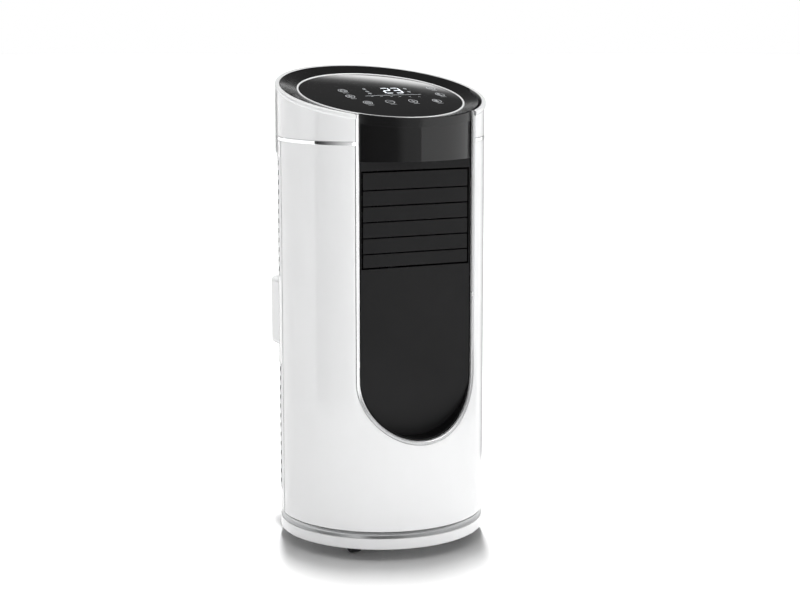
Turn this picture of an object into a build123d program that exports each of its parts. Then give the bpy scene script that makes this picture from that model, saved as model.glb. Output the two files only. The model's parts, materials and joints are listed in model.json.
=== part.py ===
from build123d import *
import os
from math import cos, degrees, hypot, radians, sin, sqrt, tan

# Portable air conditioner: a round tower on casters, front along -Y, body axis on Z.

# Driving dimensions, in millimetres and degrees
body_radius = 150.0
shell_wall = 3.0
ground_gap = 17.0
skirt_height = 16.0
groove_height = 10.0
body_height = 546.0
band_height = 6.0
rim_rise = 63.2
rim_tilt = 12.3
lip_inset = 4.0
lip_flare = 2.0
lip_height = 5.0
groove_inset = 1.0
groove_depth = 1.5
seam_angle = 96.6
rear_zone_angle = 72.0
rear_cover_step = 2.3
rear_cover_drop = 19.0

# Clearances and tolerance
seat_gap = 0.3
running_gap = 0.1
shaft_gap = 0.05
edge_tolerance = 0.05

# Front window, trim, panel and collar
window_margin = 3.0
window_bottom = 172.0
trim_width = 5.3
trim_depth = 4.7
trim_chamfer = 4.4
panel_setback = 5.0
panel_wall = 3.0
ledge_wall = 2.0
collar_inset = 5.5
collar_wall = 3.0
collar_drop = 22.4

# Louvre
louvre_drop = 37.7
slat_gap = 1.8
top_slat = 23.5
middle_slat = 20.4
middle_slat_count = 4
bottom_slat = 17.8
slat_end_gap = 3.0
slat_wall = 3.0
slat_ear = 2.5
opening_gap = 2.5
pivot_depth = 8.2
pivot_radius = 2.0
crank_length = 12.0
crank_wall = 2.2
crank_half = 3.0
crank_pin_radius = 1.5
link_wall = 2.0
link_half = 3.5
link_gap = 0.3
duct_half = 84.0
duct_wall = 2.2
duct_foot = 20.4
duct_head = 10.7
duct_depth = 56.2
swing_motor_drop = 19.0
swing_motor_radius = 12.0
swing_motor_length = 15.0
swing_motor_offset = 8.0
swing_shaft_depth = 6.0
vane_count = 5
vane_margin = 0.6
vane_pivot_setback = 40.2
vane_half_chord = 14.0
vane_wall = 1.6
vane_bottom_gap = 8.0
vane_top_gap = 7.0
vane_crank = 11.0

# Control top
dish_drop = 6.3
dish_inset = 28.5
dish_wall = 3.5
ring_width = 3.0
ring_stand = 0.8
glass_wall = 3.0
glass_dome = 2.2
ledge_width = 8.0
board_wall = 1.6

# Rear: intake grilles, filter and exhaust outlet
grille_lift = 35.0
grille_gap = 5.0
upper_grille_gap = 23.0
upper_grille_drop = 25.0
slot_height = 7.5
slot_pitch = 14.0
slot_margin = 8.0
grille_angle = 80.0
slot_angle = 77.0
rib_angles = (-57.8, -38.5, -19.3, 0.0, 19.3, 38.5, 57.8)
rib_width = 4.0
rib_depth = 3.0
filter_wall = 1.2
filter_angle = 60.0
exhaust_margin = 14.0
exhaust_height = 104.0
exhaust_drop = 28.0
exhaust_stand = 28.0
exhaust_wall = 3.0
exhaust_round = 7.0
socket_inset = 60.0
socket_height = 84.0
socket_depth = 70.0
guard_bar = 2.0
guard_pitch = 30.0

# Base, casters and drain
pan_wall = 3.0
pan_lift = 19.0
upstand_inset = 6.0
upstand_height = 7.0
caster_side_inset = 71.0
caster_end_inset = 64.0
wheel_radius = 15.0
wheel_half = 7.5
caster_trail = 9.0
fork_wall = 2.5
fork_top = 4.4
fork_half = 6.0
axle_radius = 2.5
stem_radius = 4.0
stem_length = 14.0
socket_wall = 5.0
drain_height = 56.0
drain_radius = 8.0
drain_bore = 5.0
drain_root = 9.0
drain_stand = 16.0
drain_boss = 16.0
plug_head = 7.5
plug_head_wall = 5.0
plug_stem = 12.0
gland_angle = 32.0
gland_radius = 7.0
gland_flange = 10.0
gland_stand = 8.0
gland_bore = 4.0

# Inside: refrigeration
coil_inset = 60.0
coil_clear = 8.3
coil_depth = 30.0
coil_end_wall = 4.0
fin_pitch = 6.0
fin_gap = 3.0
fin_depth = 3.0
condenser_lift = 27.0
condenser_drop = 4.0
evaporator_drop = 7.0
port_rise = 12.0
compressor_clear = 15.2
compressor_inset = 96.0
compressor_drop = 44.8
compressor_round = 22.0
foot_plate = 3.0
foot_height = 12.0
foot_radius = 9.0
foot_reach = 12.0
foot_angles = (90.0, 210.0, 330.0)
accumulator_gap = 6.0
accumulator_radius = 22.0
accumulator_lift = 41.0
accumulator_drop = 30.0
pipe_radius = 4.0
liquid_pipe_radius = 2.0
pipe_bend = 12.0
liquid_bend = 4.5
pipe_seat = 1.0
pipe_inset = 42.0
liquid_gap = 6.0
discharge_rise = 18.0
suction_rise = 36.0

# Inside: deck, fans and electrics
deck_wall = 3.0
deck_inset = 6.5
deck_rim_wall = 2.5
deck_rim_height = 14.0
leg_radius = 7.0
leg_inset = 28.0
leg_rear = 50.0
leg_front = -40.0
screw_radius = 1.9
screw_head = 4.0
screw_head_height = 2.5
screw_length = 14.0
scroll_wall = 2.2
scroll_panel_gap = 7.0
scroll_coil_gap = 2.8
condenser_fan_margin = 20.0
condenser_fan_end_gap = 9.0
evaporator_fan_margin = 9.6
evaporator_fan_offset = 4.0
evaporator_fan_end_gap = 12.0
inlet_margin = 6.0
blade_count = 24
blade_wall = 1.5
blade_length = 13.0
fan_plate = 3.0
fan_ring = 4.0
shaft_radius = 4.0
hub_radius = 10.0
cup_radius = 42.0
cup_wall = 2.5
cup_gap = 6.0
motor_radius = 34.0
condenser_motor_height = 38.0
evaporator_motor_height = 30.0
tongue_wall = 4.0
tongue_gap = 5.0
control_box = (34.0, 84.0, 36.0)
control_box_inset = 24.0
control_box_offset = 9.0

# Levels and places worked out from the sizes above
groove_bottom = ground_gap + skirt_height
body_bottom = groove_bottom + groove_height
band_bottom = body_bottom + body_height
band_top = band_bottom + band_height
rim_centre = band_top + rim_rise
shell_inner = body_radius - shell_wall
rear_seat = body_radius - shell_wall / 2
pan_floor = ground_gap + pan_lift
pan_top = pan_floor + pan_wall
upstand_radius = body_radius - upstand_inset
caster_x = body_radius - caster_side_inset
caster_y = body_radius - caster_end_inset
window_half = duct_half + window_margin
window_centre = window_bottom + window_half
trim_half = window_half + trim_width
panel_front = panel_setback - sqrt(body_radius**2 - window_half**2)
panel_back = panel_front + panel_wall
collar_radius = body_radius - collar_inset
collar_bottom = band_bottom - collar_drop
louvre_top = band_bottom - louvre_drop
louvre_bottom = louvre_top - top_slat - middle_slat_count * middle_slat - bottom_slat
louvre_bottom -= (middle_slat_count + 1) * slat_gap
slat_half = duct_half - slat_end_gap
duct_bottom = louvre_bottom - duct_foot
duct_top = louvre_top + duct_head
vane_pitch = 2 * duct_half / (vane_count + vane_margin)
pivot_y = panel_front + pivot_depth
duct_rear = panel_back + duct_depth
cheek = duct_half + duct_wall
crank_inner = cheek + link_gap
crank_outer = crank_inner + crank_wall
link_inner = crank_outer + link_gap
link_outer = link_inner + link_wall
swing_z = duct_bottom - swing_motor_drop
rear_cover_bottom = band_bottom - rear_cover_drop
exhaust_top = duct_bottom - exhaust_drop
exhaust_bottom = exhaust_top - exhaust_height
exhaust_rear = body_radius + exhaust_stand
grille_bottom = body_bottom + grille_lift
grille_top = exhaust_bottom - grille_gap
upper_grille_bottom = exhaust_top + upper_grille_gap
upper_grille_top = band_bottom - upper_grille_drop
socket_half = body_radius - socket_inset
exhaust_half = socket_half + exhaust_margin
socket_front = exhaust_rear - socket_depth
socket_middle = (exhaust_bottom + exhaust_top) / 2
socket_bottom = socket_middle - socket_height / 2
socket_top = socket_middle + socket_height / 2
deck_bottom = socket_top + scroll_wall
deck_top = deck_bottom + deck_wall
deck_radius = body_radius - deck_inset
leg_x = body_radius - leg_inset
leg_places = [(x, y) for y in (leg_rear, leg_front) for x in (leg_x, -leg_x)]
dish_inner = body_radius - dish_inset
coil_half = body_radius - coil_inset
coil_end = coil_half + coil_end_wall
coil_back = sqrt((shell_inner - coil_clear) ** 2 - coil_end**2)
coil_front = coil_back - coil_depth
condenser_bottom = pan_top + condenser_lift
condenser_top = grille_top - condenser_drop
evaporator_bottom = duct_bottom - evaporator_drop
evaporator_top = duct_top - evaporator_drop
compressor_radius = body_radius - compressor_inset
compressor_y = panel_back + compressor_clear + compressor_radius
compressor_bottom = pan_top + foot_height
compressor_top = socket_bottom - scroll_wall - compressor_drop
foot_circle = compressor_radius + foot_reach
accumulator_x = -compressor_radius - accumulator_gap - accumulator_radius
accumulator_bottom = compressor_bottom + foot_plate + accumulator_lift
accumulator_top = compressor_top - accumulator_drop
pipe_side = body_radius - pipe_inset
pipe_row = coil_front + 2 * pipe_radius
liquid_side = coil_end + liquid_gap
liquid_row = coil_back - pipe_bend
condenser_fan_y = panel_back + scroll_panel_gap + scroll_wall + socket_half
condenser_fan_radius = socket_half - condenser_fan_margin
evaporator_scroll_y = coil_front - scroll_coil_gap - scroll_wall - duct_half
evaporator_fan_y = (coil_front + duct_rear) / 2 - evaporator_fan_offset
evaporator_fan_radius = (coil_front - scroll_coil_gap - duct_rear) / 2 - evaporator_fan_margin
reach = 12 * body_radius
rim_top = rim_centre + 2 * body_radius * tan(radians(rim_tilt))


# Basic solids

def block(x, y, z):
    sizes = [high - low for low, high in (x, y, z)]
    middle = [(high + low) / 2 for low, high in (x, y, z)]
    return Pos(*middle) * Box(*sizes)


def rod_z(radius, bottom, top, x=0.0, y=0.0):
    return Pos(x, y, (bottom + top) / 2) * Cylinder(radius, top - bottom)


def rod_x(radius, start, end, y, z):
    return Pos((start + end) / 2, y, z) * Rot(0, 90, 0) * Cylinder(radius, end - start)


def rod_y(radius, start, end, x, z):
    return Pos(x, (start + end) / 2, z) * Rot(90, 0, 0) * Cylinder(radius, end - start)


def tube(outer, inner, bottom, top):
    return rod_z(outer, bottom, top) - rod_z(inner, bottom, top)


def rear_wedge(half_angle, bottom, top):
    x = reach * sin(radians(half_angle))
    y = reach * cos(radians(half_angle))
    face = make_face(Polyline((0, 0), (x, y), (-x, y), close=True))
    return Pos(0, 0, bottom) * extrude(face, top - bottom)


def below_rim(offset=0.0):
    depth = 2 * rim_top
    slab = Pos(0, 0, -depth / 2) * Box(reach, reach, depth)
    return Pos(0, 0, rim_centre + offset) * Rot(rim_tilt, 0, 0) * slab


def window_prism(half_width, start, end):
    slot = block((-half_width, half_width), (start, end), (window_centre, rim_top))
    return slot + rod_y(half_width, start, end, 0, window_centre)


def pipe(points, bend, radius):
    path = FilletPolyline(*points, radius=bend)
    section = Plane(path @ 0, z_dir=path % 0) * Circle(radius)
    return sweep(section, path)


# Slats, from the top one down: each has its bottom, top and pivot height
slat_heights = [top_slat] + middle_slat_count * [middle_slat] + [bottom_slat]
slats = []
slat_edge = louvre_top
for height in slat_heights:
    slats.append((slat_edge - height, slat_edge, slat_edge - height / 2))
    slat_edge -= height + slat_gap


# Base and casters

def caster_places():
    return [(x, y) for y in (-caster_y, caster_y) for x in (-caster_x, caster_x)]


def base_pan():
    upstand_inner = upstand_radius - shell_wall
    shelf_bottom = groove_bottom - shell_wall
    skirt = tube(body_radius, shell_inner, ground_gap, groove_bottom)
    shelf = tube(body_radius, upstand_inner, shelf_bottom, groove_bottom)
    upstand = tube(upstand_radius, upstand_inner, shelf_bottom, pan_top + upstand_height)
    pan = skirt + shelf + upstand + rod_z(upstand_radius, pan_floor, pan_top)
    stem_top = pan_floor + stem_length
    for x, y in caster_places():
        pan += rod_z(stem_radius + socket_wall, pan_top, stem_top + pan_wall, x, y)
    boss_rear = upstand_radius - shell_wall / 2
    boss_half = drain_root + shell_wall
    boss_y = (boss_rear - drain_boss, boss_rear)
    pan += block((-boss_half, boss_half), boss_y, (pan_top, drain_height + boss_half))
    pan += rod_y(drain_root, boss_rear, body_radius + seat_gap, 0, drain_height)
    pan += rod_y(drain_radius, body_radius + seat_gap, body_radius + drain_stand, 0, drain_height)
    pan -= rod_y(drain_bore, boss_rear - drain_boss, body_radius + drain_stand, 0, drain_height)
    for x, y in caster_places():
        pan -= rod_z(stem_radius + running_gap, pan_floor, stem_top, x, y)
    for x, y in leg_places:
        pan -= rod_z(screw_radius + running_gap, pan_floor, pan_top, x, y)
    return pan


def base_trim():
    outer = body_radius - groove_inset
    middle = groove_bottom + groove_height / 2
    inner = upstand_radius + seat_gap
    outline = Polyline(
        (inner, groove_bottom),
        (outer, groove_bottom),
        (outer - groove_depth, middle),
        (outer, body_bottom),
        (inner, body_bottom),
        close=True,
    )
    return revolve(Plane.XZ * make_face(outline), Axis.Z)


def caster_fork(x, y):
    axle_y = y + caster_trail
    outer = wheel_half + seat_gap + fork_wall
    crown_bottom = pan_floor - seat_gap - fork_top
    crown_top = pan_floor - seat_gap
    crown_y = (y - fork_half, axle_y + fork_half)
    fork = block((x - outer, x + outer), crown_y, (crown_bottom, crown_top))
    for side in (-1, 1):
        near = x + side * (wheel_half + seat_gap)
        far = x + side * outer
        limits = (min(near, far), max(near, far))
        leg_y = (axle_y - fork_half, axle_y + fork_half)
        fork += block(limits, leg_y, (wheel_radius, crown_bottom))
        fork += rod_x(fork_half, limits[0], limits[1], axle_y, wheel_radius)
    fork -= rod_x(axle_radius, x - outer, x + outer, axle_y, wheel_radius)
    fork += rod_z(stem_radius, crown_bottom, pan_floor + stem_length - seat_gap, x, y)
    axle = rod_x(axle_radius, x - outer, x + outer, axle_y, wheel_radius)
    return Compound([fork.solid(), axle.solid()])


def caster_wheel(x, y):
    axle_y = y + caster_trail
    wheel = rod_x(wheel_radius, x - wheel_half, x + wheel_half, axle_y, wheel_radius)
    rims = wheel.edges().filter_by(GeomType.CIRCLE)
    wheel = fillet(rims, wheel_half / 3)
    return wheel - rod_x(axle_radius + running_gap, x - wheel_half, x + wheel_half, axle_y, wheel_radius)


# Casing

def shell_tube(bottom, top):
    return tube(body_radius, shell_inner, bottom, top)


def front_window(gap):
    return window_prism(trim_half + gap, -2 * body_radius, panel_front / 2)


def front_shell():
    rear_half = 180 - seam_angle + degrees(seat_gap / 2 / body_radius)
    shell = shell_tube(body_bottom, band_bottom) - rear_wedge(rear_half, body_bottom, band_bottom)
    return shell - front_window(seat_gap)


def rear_shell():
    rear_half = 180 - seam_angle - degrees(seat_gap / 2 / body_radius)
    shell = shell_tube(body_bottom, band_bottom) & rear_wedge(rear_half, body_bottom, band_bottom)
    edge_gap = degrees(seat_gap / body_radius)
    grille_open = grille_angle + edge_gap
    shell -= rear_wedge(grille_open, grille_bottom - seat_gap, grille_top + seat_gap)
    shell -= rear_wedge(grille_open, upper_grille_bottom - seat_gap, upper_grille_top + seat_gap)
    shell -= rear_wedge(rear_zone_angle + edge_gap, rear_cover_bottom, band_top)
    half = exhaust_half + seat_gap
    shell -= block((-half, half), (0, exhaust_rear), (exhaust_bottom - seat_gap, exhaust_top + seat_gap))
    shell -= rod_y(drain_root + seat_gap, 0, exhaust_rear, 0, drain_height)
    hole = rod_y(gland_radius + running_gap, 0, exhaust_rear, 0, drain_height)
    return shell - Rot(0, 0, gland_angle) * hole


def upper_shell():
    shell = shell_tube(band_top, rim_top) & below_rim()
    lip = tube(body_radius + lip_flare, body_radius - lip_inset, band_top, rim_top)
    shell += (lip & below_rim()) - below_rim(-lip_height)
    shell -= rear_wedge(rear_zone_angle, band_top, rim_top) - rod_z(rear_seat, band_top, rim_top)
    shell -= rear_wedge(rear_zone_angle, band_top, rim_top) - below_rim(-lip_height - seat_gap)
    return shell - front_window(seat_gap)


def rear_top_cover():
    angle = rear_zone_angle - degrees(seat_gap / body_radius)
    outer = body_radius + rear_cover_step
    cover = tube(outer, rear_seat + seat_gap, rear_cover_bottom, rim_top) & below_rim()
    lip = tube(outer, body_radius - lip_inset, band_top, rim_top)
    cover += (lip & below_rim()) - below_rim(-lip_height)
    return cover & rear_wedge(angle, rear_cover_bottom, rim_top)


def accent_band():
    band = tube(body_radius + seat_gap, shell_inner - seat_gap, band_bottom, band_top)
    band -= rear_wedge(rear_zone_angle, band_bottom, band_top) - rod_z(rear_seat, band_bottom, band_top)
    return band - front_window(seat_gap)


def on_window_edge(edge):
    for point in (edge @ 0, edge @ 0.5, edge @ 1):
        if abs(hypot(point.X, point.Y) - body_radius) > edge_tolerance:
            return False
        below = min(point.Z - window_centre, 0)
        if abs(hypot(point.X, below) - window_half) > edge_tolerance:
            return False
    return True


def front_trim():
    low = window_bottom - 2 * trim_width
    trim = tube(body_radius, body_radius - trim_depth, low, rim_top) & front_window(0)
    trim -= window_prism(window_half, -2 * body_radius, panel_front / 2)
    trim = chamfer(trim.edges().filter_by(on_window_edge), trim_chamfer)
    return trim & below_rim()


def front_panel():
    half = window_half - seat_gap
    plate = window_prism(half, panel_front, panel_back)
    ledge = window_prism(half, -body_radius, panel_front)
    ledge -= window_prism(half - ledge_wall, -body_radius, panel_front)
    panel = plate + (ledge & rod_z(collar_radius - seat_gap, window_bottom, collar_bottom))
    panel -= block((-reach, reach), (-reach, reach), (collar_bottom, 2 * rim_top))
    opening = slat_half + opening_gap
    cut_z = (louvre_bottom - opening_gap, louvre_top + opening_gap)
    return panel - block((-opening, opening), (panel_front, panel_back), cut_z)


def collar():
    half = window_half - seat_gap
    skin = tube(collar_radius, collar_radius - collar_wall, collar_bottom, rim_top)
    shelf = rod_z(collar_radius, collar_bottom, collar_bottom + collar_wall)
    shelf &= block((-half, half), (-body_radius, panel_back), (collar_bottom, collar_bottom + collar_wall))
    skin &= block((-half, half), (-body_radius, 0), (collar_bottom, rim_top))
    return (skin + shelf) & below_rim()


# Louvre

def louvre_frame():
    side = (-cheek, cheek)
    frame = block(side, (panel_back, duct_rear), (duct_bottom - duct_wall, duct_top + duct_wall))
    frame -= block((-duct_half, duct_half), (panel_back, duct_rear), (duct_bottom, duct_top))
    motor_reach = swing_motor_radius + panel_wall
    ear_y = (panel_back, pivot_y + swing_motor_offset + motor_reach)
    frame += block((duct_half, cheek), ear_y, (swing_z - motor_reach, duct_bottom))
    for bottom, top, middle in slats:
        frame -= rod_x(pivot_radius + running_gap, -cheek, cheek, pivot_y, middle)
    frame -= rod_x(pivot_radius + running_gap, duct_half, cheek, pivot_y, swing_z)
    for x in vane_places():
        pin_z = (duct_bottom - duct_wall, duct_top + duct_wall)
        frame -= rod_z(pivot_radius + running_gap, pin_z[0], pin_z[1], x, vane_y())
    return frame


def crank_arm(z):
    arm_y = (pivot_y, pivot_y + crank_length)
    arm = block((crank_inner, crank_outer), arm_y, (z - crank_half, z + crank_half))
    for y in arm_y:
        arm += rod_x(crank_half, crank_inner, crank_outer, y, z)
    return arm + rod_x(crank_pin_radius, crank_outer, link_outer + link_gap, pivot_y + crank_length, z)


def louvre_slat(bottom, top, middle):
    slat = block((-slat_half, slat_half), (panel_front, panel_front + slat_wall), (bottom, top))
    for side in (-1, 1):
        near = side * (slat_half - slat_ear)
        limits = (min(near, side * slat_half), max(near, side * slat_half))
        ear_z = (middle - crank_half, middle + crank_half)
        slat += block(limits, (panel_front + slat_wall, pivot_y), ear_z)
        slat += rod_x(crank_half, limits[0], limits[1], pivot_y, middle)
    slat += rod_x(pivot_radius, -cheek, -slat_half, pivot_y, middle)
    slat += rod_x(pivot_radius, slat_half, crank_inner, pivot_y, middle)
    return slat + crank_arm(middle)


def louvre_link():
    y = pivot_y + crank_length
    z = (swing_z, slats[0][2])
    link = block((link_inner, link_outer), (y - link_half, y + link_half), z)
    for end in z:
        link += rod_x(link_half, link_inner, link_outer, y, end)
    for pin in [swing_z] + [middle for bottom, top, middle in slats]:
        link -= rod_x(crank_pin_radius + running_gap, link_inner, link_outer, y, pin)
    return link


def louvre_crank():
    shaft_end = duct_half - swing_shaft_depth
    return crank_arm(swing_z) + rod_x(pivot_radius, shaft_end, crank_inner, pivot_y, swing_z)


def louvre_motor():
    y = pivot_y + swing_motor_offset
    motor = rod_x(swing_motor_radius, duct_half - swing_motor_length, duct_half, y, swing_z)
    depth = swing_shaft_depth + seat_gap
    return motor - rod_x(pivot_radius + running_gap, duct_half - depth, duct_half, pivot_y, swing_z)


def vane_places():
    first = -(vane_count - 1) / 2 * vane_pitch
    return [first + index * vane_pitch for index in range(vane_count)]


def vane_y():
    return panel_back + vane_pivot_setback


def vane(x):
    y = vane_y()
    z = (duct_bottom + vane_bottom_gap, duct_top - vane_top_gap)
    blade = block((x - vane_wall / 2, x + vane_wall / 2), (y - vane_half_chord, y + vane_half_chord), z)
    blade += rod_z(pivot_radius, duct_bottom - duct_wall, z[0] + vane_top_gap, x, y)
    blade += rod_z(pivot_radius, z[1] - vane_top_gap, duct_top + duct_wall, x, y)
    pin_bottom = duct_bottom + link_wall
    return blade + rod_z(crank_pin_radius, pin_bottom, z[0] + vane_top_gap, x, y + vane_crank)


def vane_link():
    y = vane_y() + vane_crank
    z = (duct_bottom + link_wall + link_gap, duct_bottom + 2 * link_wall + link_gap)
    ends = (vane_places()[0], vane_places()[-1])
    link = block(ends, (y - link_half, y + link_half), z)
    for x in ends:
        link += rod_z(link_half, z[0], z[1], x, y)
    for x in vane_places():
        link -= rod_z(crank_pin_radius + running_gap, z[0], z[1], x, y)
    return link


# Control top, in layers parallel to the slanted rim

def rim_layer(outer, inner, top, bottom):
    layer = tube(outer, inner, band_top, rim_top) & below_rim(top)
    return layer - below_rim(bottom)


def rim_ellipse(radius, offset):
    plane = Plane(Location((0, 0, rim_centre + offset), (rim_tilt, 0, 0)))
    return plane * Ellipse(radius, radius / cos(radians(rim_tilt)))


dish_outer = body_radius - lip_inset - seat_gap
ledge_inner = dish_inner - ring_width - ledge_width
seat_level = -dish_drop - glass_wall


def top_dish():
    floor = seat_level - dish_wall
    dish = rim_layer(dish_outer, dish_inner, 0, floor)
    dish += rim_layer(dish_inner, ledge_inner, seat_level, floor)
    slope = loft([rim_ellipse(dish_outer, 0), rim_ellipse(dish_inner, -dish_drop)])
    front = block((-trim_half, trim_half), (-body_radius, 0), (band_bottom, rim_top))
    front -= rod_z(collar_radius - collar_wall - seat_gap, band_bottom, rim_top)
    return dish - slope - front


def control_ring():
    outer = dish_inner - seat_gap
    return rim_layer(outer, dish_inner - ring_width, ring_stand - dish_drop, seat_level)


def control_glass():
    radius = dish_inner - ring_width - seat_gap
    ball_radius = (radius**2 + glass_dome**2) / (2 * glass_dome)
    glass = rod_z(radius, band_top, rim_top) & below_rim(glass_dome - dish_drop)
    ball = Pos(0, 0, rim_centre - dish_drop + glass_dome) * Rot(rim_tilt, 0, 0)
    glass &= ball * Pos(0, 0, -ball_radius) * Sphere(ball_radius)
    return glass - below_rim(seat_level)


def display_board():
    top = seat_level - dish_wall
    board = rod_z(ledge_inner + ledge_width / 2, band_top, rim_top) & below_rim(top)
    return board - below_rim(top - board_wall)


# Rear: grilles, filter and exhaust outlet

def ribs(start, end, bottom, top):
    rib = block((-rib_width / 2, rib_width / 2), (start, end), (bottom, top))
    return [Rot(0, 0, turn) * rib for turn in rib_angles]


def grille(bottom, top):
    panel = shell_tube(bottom, top) & rear_wedge(grille_angle, bottom, top)
    count = round((top - bottom - 2 * slot_margin) / slot_pitch) + 1
    first = (bottom + top - (count - 1) * slot_pitch) / 2
    uncut = ribs(0, exhaust_rear, bottom, top)
    for index in range(count):
        middle = first + index * slot_pitch
        panel -= rear_wedge(slot_angle, middle - slot_height / 2, middle + slot_height / 2) - uncut
    return panel + ribs(shell_inner - rib_depth, shell_inner + shell_wall / 2, bottom, top)


def upper_filter():
    outer = shell_inner - rib_depth - seat_gap
    z = (upper_grille_bottom + slot_margin / 2, upper_grille_top - slot_margin / 2)
    return tube(outer, outer - filter_wall, z[0], z[1]) & rear_wedge(filter_angle, z[0], z[1])


def exhaust_outlet():
    side = (-exhaust_half, exhaust_half)
    cover = block(side, (0, exhaust_rear), (exhaust_bottom, exhaust_top))
    cover = fillet(cover.edges().filter_by(Axis.Y), exhaust_round)
    cover = fillet(cover.faces().sort_by(Axis.Y)[-1].edges(), exhaust_round / 2)
    inner_half = exhaust_half - exhaust_wall
    inner_z = (exhaust_bottom + exhaust_wall, exhaust_top - exhaust_wall)
    cover -= block((-inner_half, inner_half), (0, exhaust_rear - exhaust_wall), inner_z)
    cover -= rod_z(shell_inner, exhaust_bottom, exhaust_top)
    sleeve_half = socket_half + scroll_wall
    sleeve_z = (socket_bottom - scroll_wall, socket_top + scroll_wall)
    sleeve_y = (socket_front, exhaust_rear - exhaust_wall)
    outlet = cover + block((-sleeve_half, sleeve_half), sleeve_y, sleeve_z)
    outlet -= block((-socket_half, socket_half), (0, exhaust_rear), (socket_bottom, socket_top))
    guard_y = (socket_front, socket_front + 2 * guard_bar)
    count = int(socket_half / guard_pitch)
    for index in range(-count + 1, count):
        x = index * guard_pitch
        outlet += block((x - guard_bar / 2, x + guard_bar / 2), guard_y, (socket_bottom, socket_top))
    return outlet


def drain_plug():
    end = body_radius + drain_stand
    head = rod_y(plug_head, end, end + plug_head_wall, 0, drain_height)
    return head + rod_y(drain_bore - shaft_gap, end - plug_stem, end, 0, drain_height)


def cord_gland():
    bush = rod_y(gland_radius, shell_inner - shell_wall, body_radius, 0, drain_height)
    bush += rod_y(gland_flange, body_radius, body_radius + gland_stand / 2, 0, drain_height)
    bush += rod_y(gland_radius, body_radius + gland_stand / 2, body_radius + gland_stand, 0, drain_height)
    bush -= rod_y(gland_bore, 0, exhaust_rear, 0, drain_height)
    return Rot(0, 0, gland_angle) * bush


# Inside: refrigeration

def coil(stand, bottom, top):
    core = block((-coil_half, coil_half), (coil_front, coil_back), (bottom, top))
    count = int(2 * coil_half / fin_pitch)
    for index in range(count):
        x = -coil_half + (index + 0.5) * fin_pitch
        groove = (x - fin_gap / 2, x + fin_gap / 2)
        core -= block(groove, (coil_front, coil_front + fin_depth), (bottom, top))
        core -= block(groove, (coil_back - fin_depth, coil_back), (bottom, top))
    for side in (-1, 1):
        near = side * coil_half
        far = side * coil_end
        core += block((min(near, far), max(near, far)), (coil_front, coil_back), (stand, top))
    return core


def compressor():
    bottom = compressor_bottom
    shell = rod_z(compressor_radius, bottom + foot_plate, compressor_top, 0, compressor_y)
    shell = fillet(shell.edges().sort_by(Axis.Z)[-1], compressor_round)
    plate = rod_z(foot_circle + foot_radius, bottom, bottom + foot_plate, 0, compressor_y)
    can = rod_z(accumulator_radius, accumulator_bottom, accumulator_top, accumulator_x, compressor_y)
    strap_x = (accumulator_x + accumulator_radius / 2, -compressor_radius / 2)
    middle = (accumulator_bottom + accumulator_top) / 2
    strap_y = (compressor_y - foot_radius, compressor_y + foot_radius)
    strap = block(strap_x, strap_y, (middle - foot_height / 2, middle + foot_height / 2))
    whole = shell + plate + can + strap
    for x, y in foot_places():
        whole -= rod_z(screw_head, bottom, bottom + foot_plate, x, y)
    return whole


def foot_places():
    turns = [radians(angle) for angle in foot_angles]
    return [(foot_circle * cos(turn), compressor_y + foot_circle * sin(turn)) for turn in turns]


def compressor_feet():
    bottom = compressor_bottom
    feet = []
    for x, y in foot_places():
        foot = rod_z(foot_radius, pan_top, bottom, x, y)
        foot += rod_z(screw_head - seat_gap, bottom, bottom + foot_plate, x, y)
        feet.append(foot.solid())
    return Compound(feet)


def discharge_pipe():
    x = compressor_radius - compressor_round - pipe_radius - pipe_seat
    level = compressor_top + discharge_rise
    points = [
        (x, compressor_y, compressor_top),
        (x, compressor_y, level),
        (pipe_side, compressor_y, level),
        (pipe_side, pipe_row, level),
        (coil_end, pipe_row, level),
    ]
    return pipe(points, pipe_bend, pipe_radius)


def suction_pipe():
    start = evaporator_bottom + port_rise
    level = accumulator_top + suction_rise
    points = [
        (-coil_end, pipe_row, start),
        (-pipe_side, pipe_row, start),
        (-pipe_side, pipe_row, level),
        (-pipe_side, compressor_y, level),
        (accumulator_x, compressor_y, level),
        (accumulator_x, compressor_y, accumulator_top),
    ]
    return pipe(points, pipe_bend, pipe_radius)


def liquid_pipe():
    y = liquid_row
    low = condenser_bottom + port_rise
    high = evaporator_bottom + 2 * port_rise
    points = [
        (coil_end, y, low),
        (liquid_side, y, low),
        (liquid_side, y, high),
        (coil_end, y, high),
    ]
    return pipe(points, liquid_bend, liquid_pipe_radius)


# Inside: deck, scrolls, fans and motors

def deck():
    floor = rod_z(deck_radius, deck_bottom, deck_top)
    floor += tube(deck_radius, deck_radius - deck_rim_wall, deck_bottom, deck_top + deck_rim_height)
    whole = (deck_bottom - deck_wall, deck_top + deck_rim_height)
    floor -= block((-reach, reach), (-reach, panel_back + seat_gap), whole)
    notch_x = (duct_half - swing_motor_length - shell_wall, reach)
    notch_y = (-reach, pivot_y + swing_motor_offset + swing_motor_radius + 2 * shell_wall)
    floor -= block(notch_x, notch_y, whole)
    floor -= rod_z(pipe_radius + seat_gap, deck_bottom, deck_top, -pipe_side, pipe_row)
    floor -= rod_z(liquid_pipe_radius + seat_gap, deck_bottom, deck_top, liquid_side, liquid_row)
    for x, y in leg_places:
        floor += rod_z(leg_radius, pan_top, deck_bottom, x, y)
        floor -= rod_z(screw_radius + running_gap, pan_top, pan_top + screw_length, x, y)
    return floor


def scroll_solid(half, centre_y, mouth_y, bottom, top):
    low, high = min(centre_y, mouth_y), max(centre_y, mouth_y)
    round_end = rod_z(half, bottom, top, 0, centre_y)
    if mouth_y > centre_y:
        round_end -= block((-half, half), (mouth_y, reach), (bottom, top))
    else:
        round_end -= block((-half, half), (-reach, mouth_y), (bottom, top))
    return round_end + block((-half, half), (low, high), (bottom, top))


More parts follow.
